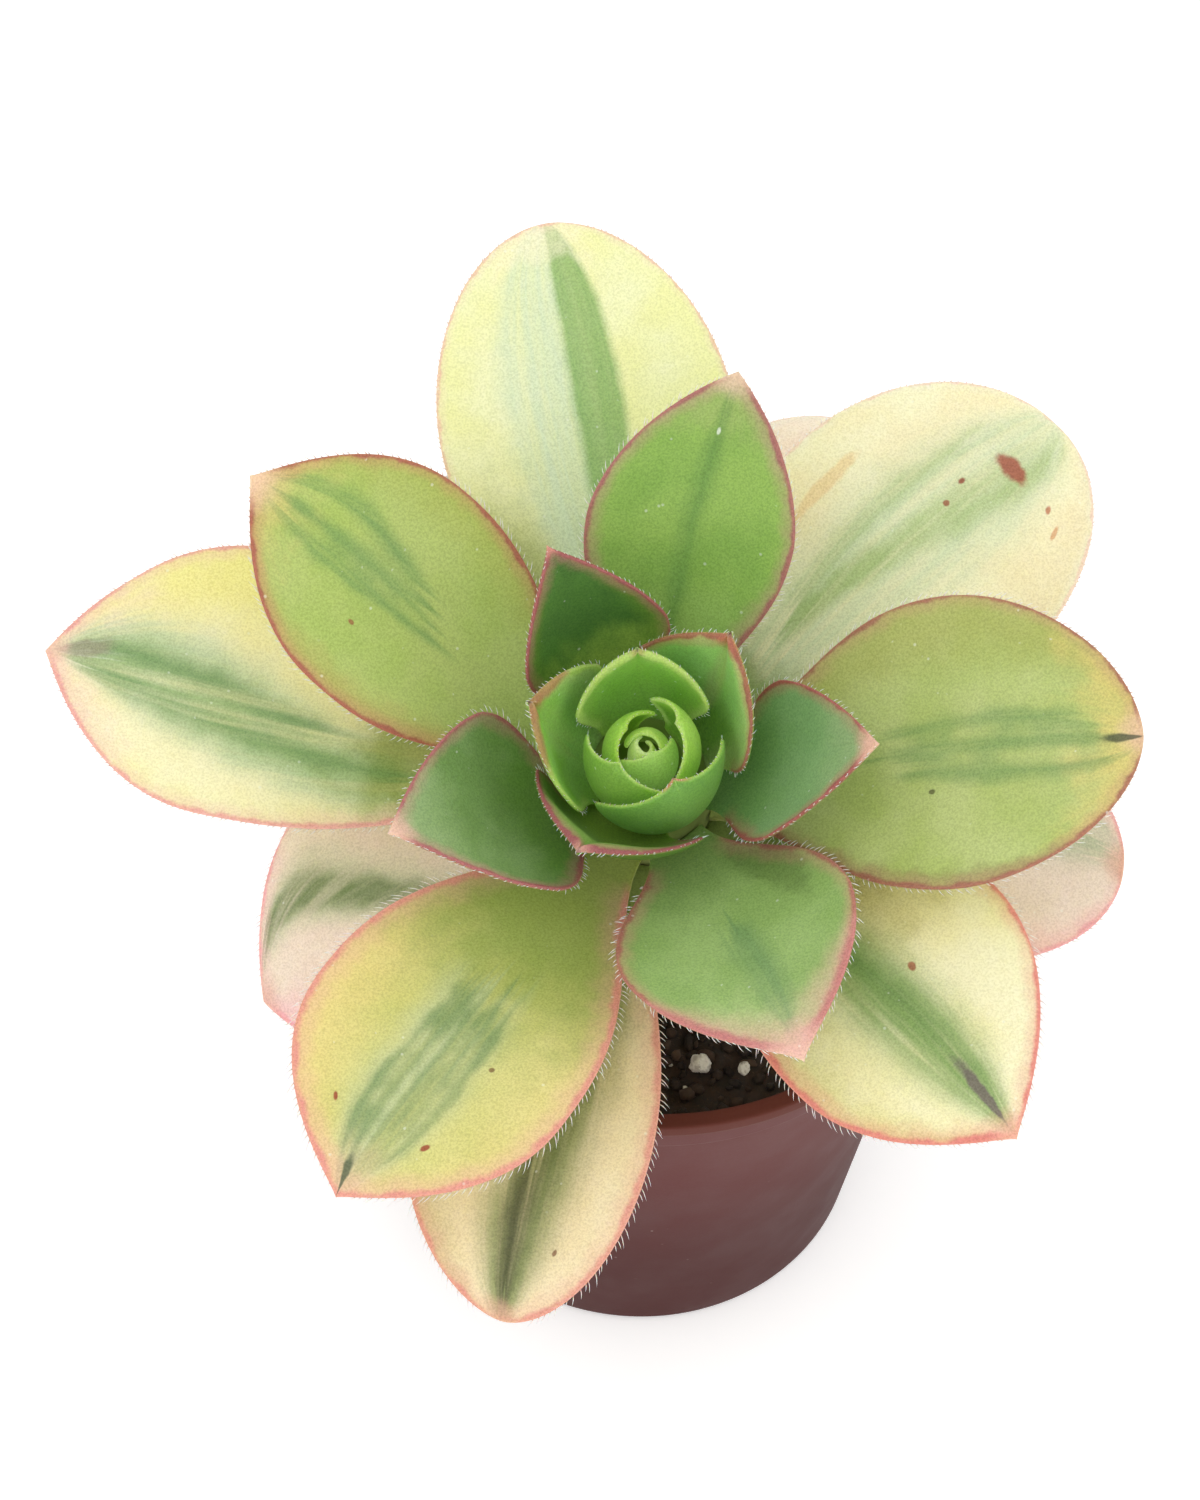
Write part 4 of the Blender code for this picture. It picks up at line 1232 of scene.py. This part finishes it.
def scatterLumps(name, material):
    # rough little lumps, each with its own size, stretch and turn, sunk a little into the soil
    count, sizes, seed, stretch, slot = looseBits[name]
    rng = np.random.default_rng(seed)
    corners, faces = lumpShape()
    distance = (soilShape()[0] - 1.2) * np.sqrt(rng.uniform(0.02, 1, count))
    flat = distance[:, None] * onCircle(rng.uniform(0, 2 * np.pi, count))
    size = rng.uniform(*sizes, count)
    shape = corners * rng.uniform(0.72, 1.18, (count, 12, 1))
    scale = [rng.uniform(*stretch, count), np.ones(count), rng.uniform(0.5, 0.95, count)]
    shape = shape * np.stack(scale, axis=-1)[:, None]
    x, z = turnPair(shape[..., 0], shape[..., 2], rng.normal(0, 0.45, count))
    x, y = turnPair(x, shape[..., 1], rng.uniform(0, 2 * np.pi, count))
    centre = np.column_stack([flat, soilTop(*flat.T) + 0.18 * size])
    points = (centre[:, None] + np.stack([x, y, z], axis=-1) * size[:, None, None] / 2).reshape(-1, 3) * mm
    triangles = (np.arange(count)[:, None, None] * 12 + faces).reshape(-1, 3)
    piece = addPiece(name, points, None, triangles)
    setValues(piece, "lumpShade", np.repeat(rng.uniform(0, 1, count), 12))
    piece.data.materials.append(material)


def buildPerlite(number, material):
    # a pitted lump the size of its own solid: a ball of rings, pushed in and out by waves
    name = f"perlite_{number:02d}"
    low, high = (np.array(corner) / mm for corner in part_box(name))
    polar = np.linspace(0.02, np.pi - 0.02, 30)[:, None, None]
    around = onCircle(fullTurn(44))
    ball = np.concatenate([np.sin(polar) * around, np.cos(polar) + 0 * around[None, :, :1]], axis=-1)
    rough = 1 + 0.1 * waves(ball, 1.3, 500 + number) + 0.05 * waves(ball, 0.45, 520 + number)
    grid = ball * rough[..., None]
    halfSize = (high - low) / 2 * soilLook["lumpGrowth"]
    grid = grid / np.abs(grid).reshape(-1, 3).max(axis=0) * halfSize + (low + high) / 2
    points, quads, fans = closedTube(grid * mm)
    piece = addPiece(f"{name}_lump", points, quads, fans, name)
    piece.data.materials.append(material)


def soilMaterial(name, shade):
    # two dark browns with pale fibres; loose crumbs also have a shade of their own
    material, tree, shader = startMaterial(name)
    place = objectPlace(tree)
    patch = noise(tree, place, 600, 4.0, 0.7)
    colour = mixColour(tree, fade(tree, patch, 0.32, 0.62), soilLook["dark"], soilLook["mid"])
    fibre = noise(tree, place, 2600, 3.0, 0.7)
    colour = mixColour(tree, fade(tree, fibre, 0.58, 0.75, 0.0, 0.7), colour, soilLook["light"])
    if shade:
        lump = readValue(tree, "lumpShade")
        colour = mixColour(tree, fade(tree, lump, 0.55, 1.0, 0.0, 0.6), colour, soilLook["light"])
        colour = mixColour(tree, fade(tree, lump, 0.5, 0.1, 0.0, 0.7), colour, soilLook["dark"])
    setFinish(tree, shader, colour, patch, 0.75, 0.98)
    addBump(tree, shader, fibre, 0.7, 0.15)
    return material


def perliteMaterial():
    # off-white with shaded pits and soil stains
    material, tree, shader = startMaterial("perlite")
    place = objectPlace(tree)
    pit = noise(tree, place, 1900, 4.0, 0.7)
    colour = mixColour(tree, fade(tree, pit, 0.55, 0.3), soilLook["perlite"], soilLook["perliteShade"])
    stain = fade(tree, noise(tree, place, 700), 0.55, 0.75, 0.0, 0.5)
    colour = mixColour(tree, stain, colour, soilLook["light"])
    setFinish(tree, shader, colour, pit, 0.75, 0.95)
    addBump(tree, shader, pit, 0.8, 0.2)
    return material


print("building soil")
buildSoil().data.materials.append(soilMaterial("potting_soil", False))
crumbFinish, perliteFinish = soilMaterial("potting_soil_crumbs", True), perliteMaterial()
scatterLumps("soil_crumbs", crumbFinish)
scatterLumps("bark_slivers", crumbFinish)
scatterLumps("perlite_grains", perliteFinish)
for number in range(1, soilLook["perliteLumps"] + 1):
    buildPerlite(number, perliteFinish)


# Stage, light and camera

stageLook = {
    "floorHalf": 3.0,               # metres
    "floor": (250, 250, 250), "floorGrain": (236, 236, 236), "floorGlow": 0.35,
    "sky": (255, 255, 255), "skyStrength": 0.92,
    "lightAim": (0, 0, 0.06),
    "key": {"place": (-0.35, -0.35, 0.9), "size": 0.7, "power": 1.5},
    "fill": {"place": (0.6, -0.2, 0.5), "size": 0.5, "power": 0.5},
}

cameraLook = {
    "aim": (-5.64, 13.11, 48.0),    # millimetres
    "distance": 450.0,
    "height": 54.0,                 # degrees above the horizon
    "roll": 2.85,
    "lens": 113.8,
}


def addLight(name):
    # a round soft light turned towards the plant
    look = stageLook[name]
    light = bpy.data.lights.new(name, "AREA")
    light.shape = "DISK"
    light.size, light.energy = look["size"], look["power"]
    lamp = addObject(name, light)
    lamp.location = look["place"]
    aim = Vector(stageLook["lightAim"]) - Vector(look["place"])
    lamp.rotation_euler = aim.to_track_quat("-Z", "Y").to_euler()


def buildStage():
    # a wide pale floor, an even white sky and two lights
    half = stageLook["floorHalf"]
    mesh = bpy.data.meshes.new("floor")
    corners = [(-half, -half, 0), (half, -half, 0), (half, half, 0), (-half, half, 0)]
    mesh.from_pydata(corners, [], [(0, 1, 2, 3)])
    floor = addObject("floor", mesh)
    material, tree, shader = startMaterial("floor_paper")
    fine = fade(tree, noise(tree, objectPlace(tree), 800), 0.4, 0.7, 0.0, 0.02)
    colour = mixColour(tree, fine, stageLook["floor"], stageLook["floorGrain"])
    tree.links.new(colour, shader.inputs["Base Color"])
    shader.inputs["Roughness"].default_value = 0.9
    shader.inputs["Emission Color"].default_value = toLinear(stageLook["floor"])
    shader.inputs["Emission Strength"].default_value = stageLook["floorGlow"]
    mesh.materials.append(material)
    world = bpy.data.worlds.new("studio")
    world.use_nodes = True
    background = world.node_tree.nodes["Background"]
    background.inputs["Color"].default_value = toLinear(stageLook["sky"])
    background.inputs["Strength"].default_value = stageLook["skyStrength"]
    bpy.context.scene.world = world
    addLight("key")
    addLight("fill")
    bpy.context.scene.view_settings.view_transform = "Standard"


def buildCamera():
    # looks along the line that drops by the given height, and is turned by the roll about it
    high = math.radians(cameraLook["height"])
    roll = math.radians(cameraLook["roll"])
    back = Vector((0, -math.cos(high), math.sin(high)))
    right = Vector((1, 0, 0))
    up = back.cross(right)
    across = math.cos(roll) * right + math.sin(roll) * up
    above = -math.sin(roll) * right + math.cos(roll) * up
    data = bpy.data.cameras.new("view")
    data.lens = cameraLook["lens"]
    data.sensor_fit = "AUTO"
    data.sensor_width = 36
    data.clip_start = 0.01
    camera = addObject("view", data)
    place = (Vector(cameraLook["aim"]) + back * cameraLook["distance"]) * mm
    camera.matrix_world = Matrix.Translation(place) @ Matrix((across, above, back)).transposed().to_4x4()
    bpy.context.scene.camera = camera


print("building stage")
buildStage()
buildCamera()
